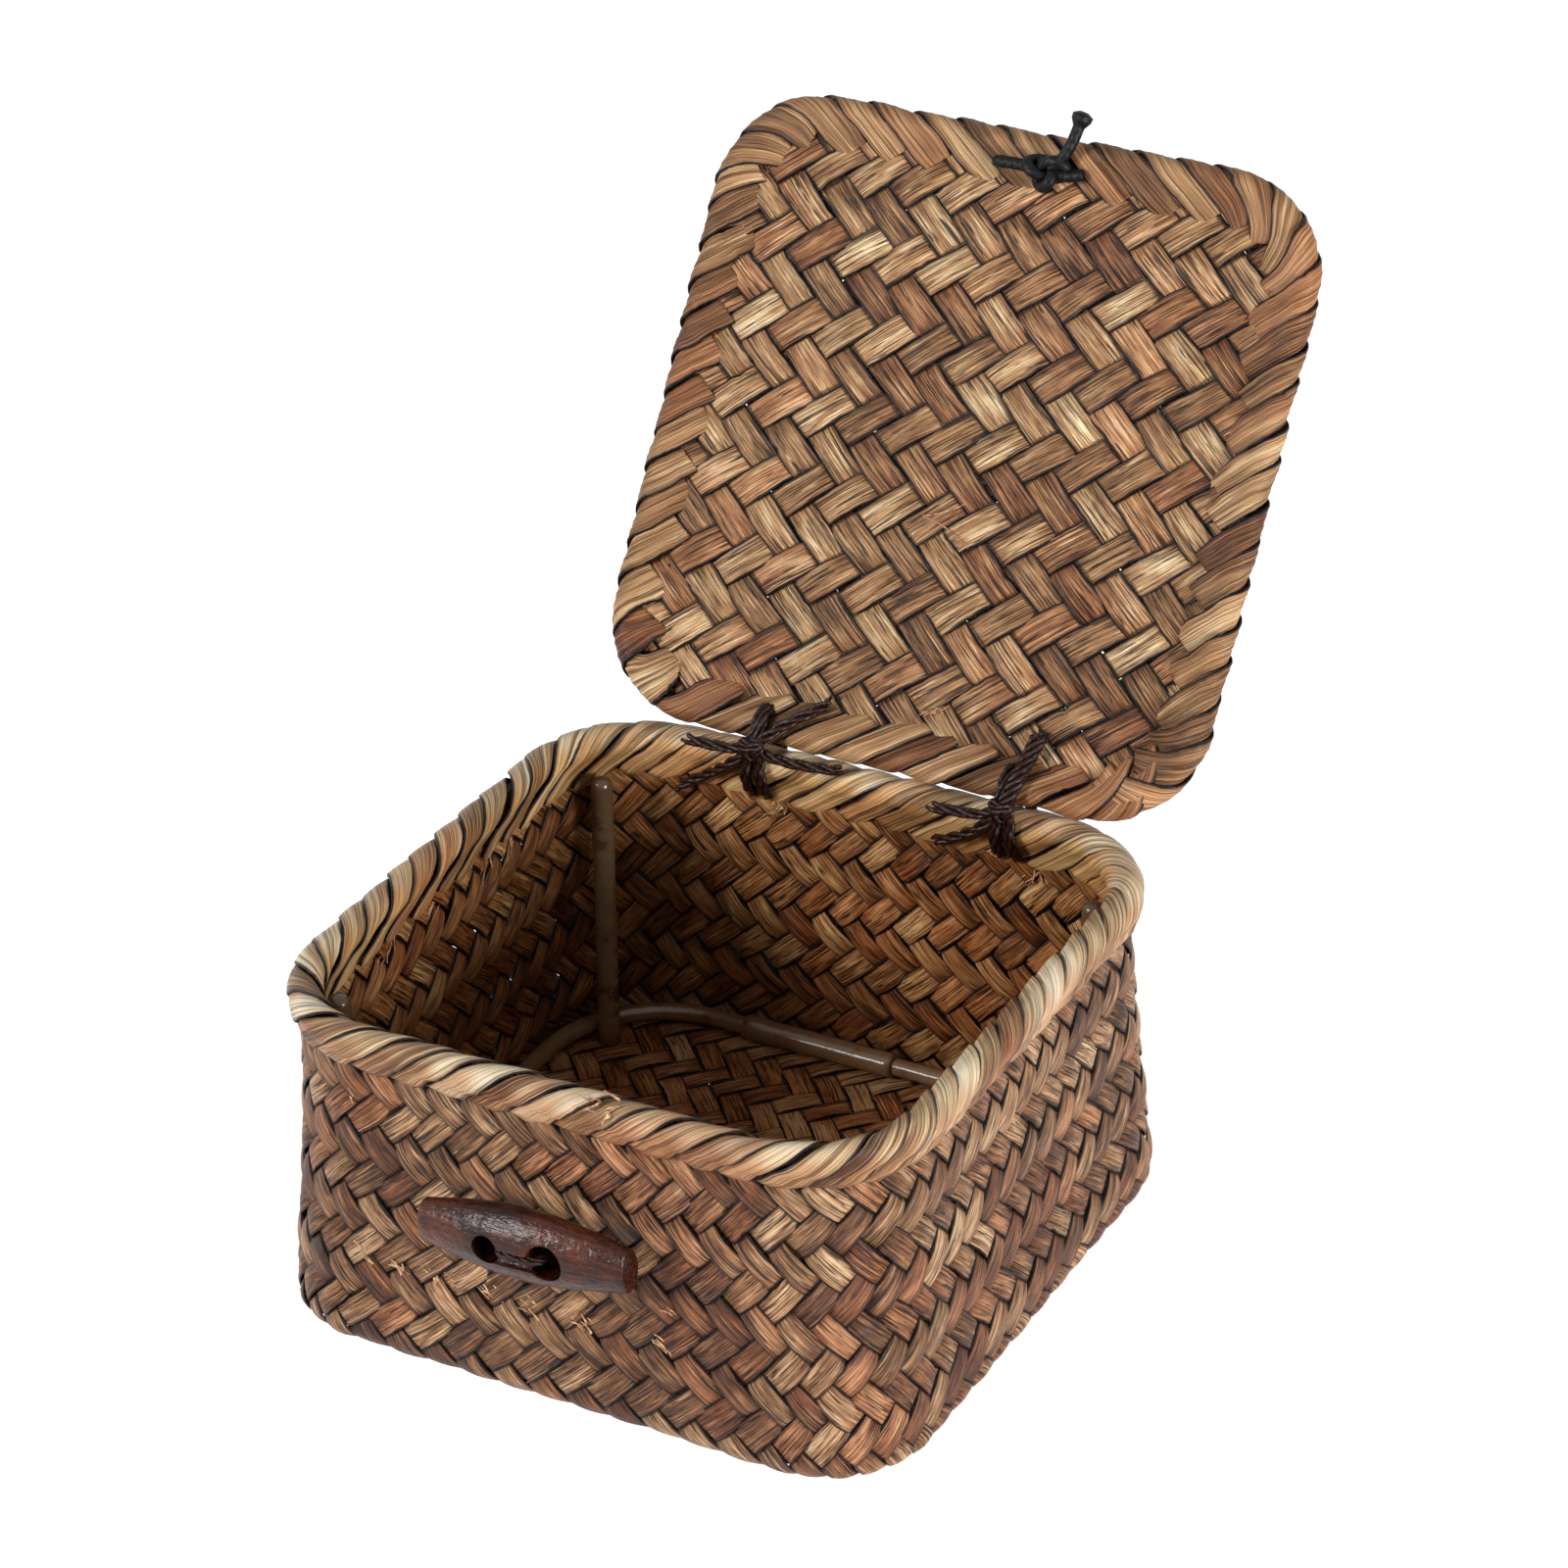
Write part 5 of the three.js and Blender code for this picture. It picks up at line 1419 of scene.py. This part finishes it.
def loose_fibres():
    """Split fibres where strips have torn: (surface, u, down, count, spread, length, heading)."""
    luck = np.random.default_rng(FIBRE_SEED)
    left_side, back_middle = -RIM_ROUND / 4, -RIM_ROUND / 2
    tears = {
        "basket": [(Wall(), u - WALL_TURN, WALL_TEARS_DOWN, 6, 0.8, 3.6, -2.2) for u in WALL_TEARS]
        + [(Wall(), -47.0, 9.0, 4, 0.6, 6.0, 0.8), (Wall(), 29.0, 43.0, 4, 0.8, 3.5, -2.2)]
        + [(rim_surface, u, 2.5, 5, 0.7, 3.2, 2.6) for u in (13.0, 16.5)]
        + [(inner_wall, left_side - y, 9.0, 7, 1.4, 5.0, 0.6) for y in (17.0, 27.0, -7.0, -22.0, -46.0)]
        + [(inner_wall, back_middle + 62.0, 5.0, 6, 1.2, 4.0, 0.6)]
        + [(inner_wall, back_middle - x, 10.0, 6, 1.0, 3.2, 1.2) for x in (LEFT_TIE_X + 3, RIGHT_TIE_X + 3)],
        "lid": [(lid_face, -4.0, LID_DEPTH - 53.0, 2, 0.1, 12.0, 0.1),
                (lid_face, -11.4, LID_DEPTH - 132.4, 6, 0.5, 3.4, -2.4),
                (lid_face, 7.0, LID_DEPTH - 11.0, 6, 1.4, 4.5, -0.4)],
    }
    for body, places in tears.items():
        parts = []
        for surface, u, down, count, spread, length, heading in places:
            for _ in range(count):
                parts.append(fibre(luck, surface, u + luck.normal(0, spread), down + luck.normal(0, spread),
                                   heading + luck.normal(0, 0.3), length * luck.uniform(0.6, 1.2),
                                   luck.uniform(0.3, 1.5), luck.uniform(0.16, 0.36)))
        belongs(new_mesh(f"{body}_loose_fibres", merged(parts), torn_leaf), body)


def finish_hoops():
    """The solids of the two hoops stay, with a material of their own."""
    for node in ("rim_hoop", "lid_hoop"):
        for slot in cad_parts[node].material_slots:
            slot.material = hoop_cane


# Studio

def build_floor():
    deselect()
    bpy.ops.mesh.primitive_plane_add(size=STUDIO_FLOOR_SIZE, location=(0, 0, STUDIO_FLOOR_Z))
    floor = bpy.context.object
    floor.name = "studio_floor"
    n = Finish("studio_floor")
    n.shader.inputs["Base Color"].default_value = (0.8, 0.8, 0.8, 1)
    n.shader.inputs["Roughness"].default_value = 0.9
    # Seen directly, the floor glows nearly white and the light on it does the rest, so the shadow stays.
    glow = n.add("Emission")
    n.link(n.times(n.seen(), FLOOR_GLOW), glow.inputs["Strength"])
    both = n.add("AddShader")
    n.link(n.shader.outputs[0], both.inputs[0])
    n.link(glow.outputs[0], both.inputs[1])
    n.link(both.outputs[0], n.output.inputs[0])
    floor.data.materials.append(n.material)


def build_world():
    """White where it is seen, and a soft even light on the object."""
    world = bpy.data.worlds.new("studio")
    bpy.context.scene.world = world
    world.use_nodes = True
    n = Nodes(world.node_tree)
    output = n.add("OutputWorld")
    mix = n.add("MixShader")
    n.link(n.seen(), mix.inputs[0])
    for socket, strength in ((mix.inputs[1], SOFT_LIGHT), (mix.inputs[2], 1.0)):
        light = n.add("Background")
        light.inputs["Color"].default_value = (1, 1, 1, 1)
        light.inputs["Strength"].default_value = strength
        n.link(light.outputs[0], socket)
    n.link(mix.outputs[0], output.inputs[0])


def add_lamp(name, place, power):
    data = bpy.data.lights.new(name, "AREA")
    data.shape = "DISK"
    data.size = LAMP_SIZE
    data.energy = power
    lamp = bpy.data.objects.new(name, data)
    lamp.location = place
    lamp.rotation_mode = "QUATERNION"
    lamp.rotation_quaternion = (Vector(LAMP_TARGET) - Vector(place)).to_track_quat("-Z", "Y")
    bpy.context.scene.collection.objects.link(lamp)


add_camera()
elastic_loop()
build_basket()
build_rim()
build_lid_panel()
build_lid_edge()
build_rods()
build_ties()
build_toggle()
build_toggle_cord()
build_closure_knot()
build_closure_tail()
loose_fibres()
finish_hoops()
build_floor()
build_world()
add_lamp("key_lamp", (-0.75, -1.1, 0.72), 20)
add_lamp("fill_lamp", (1.3, -0.35, 0.2), 24)

scene = bpy.context.scene
scene.view_settings.view_transform = "Standard"
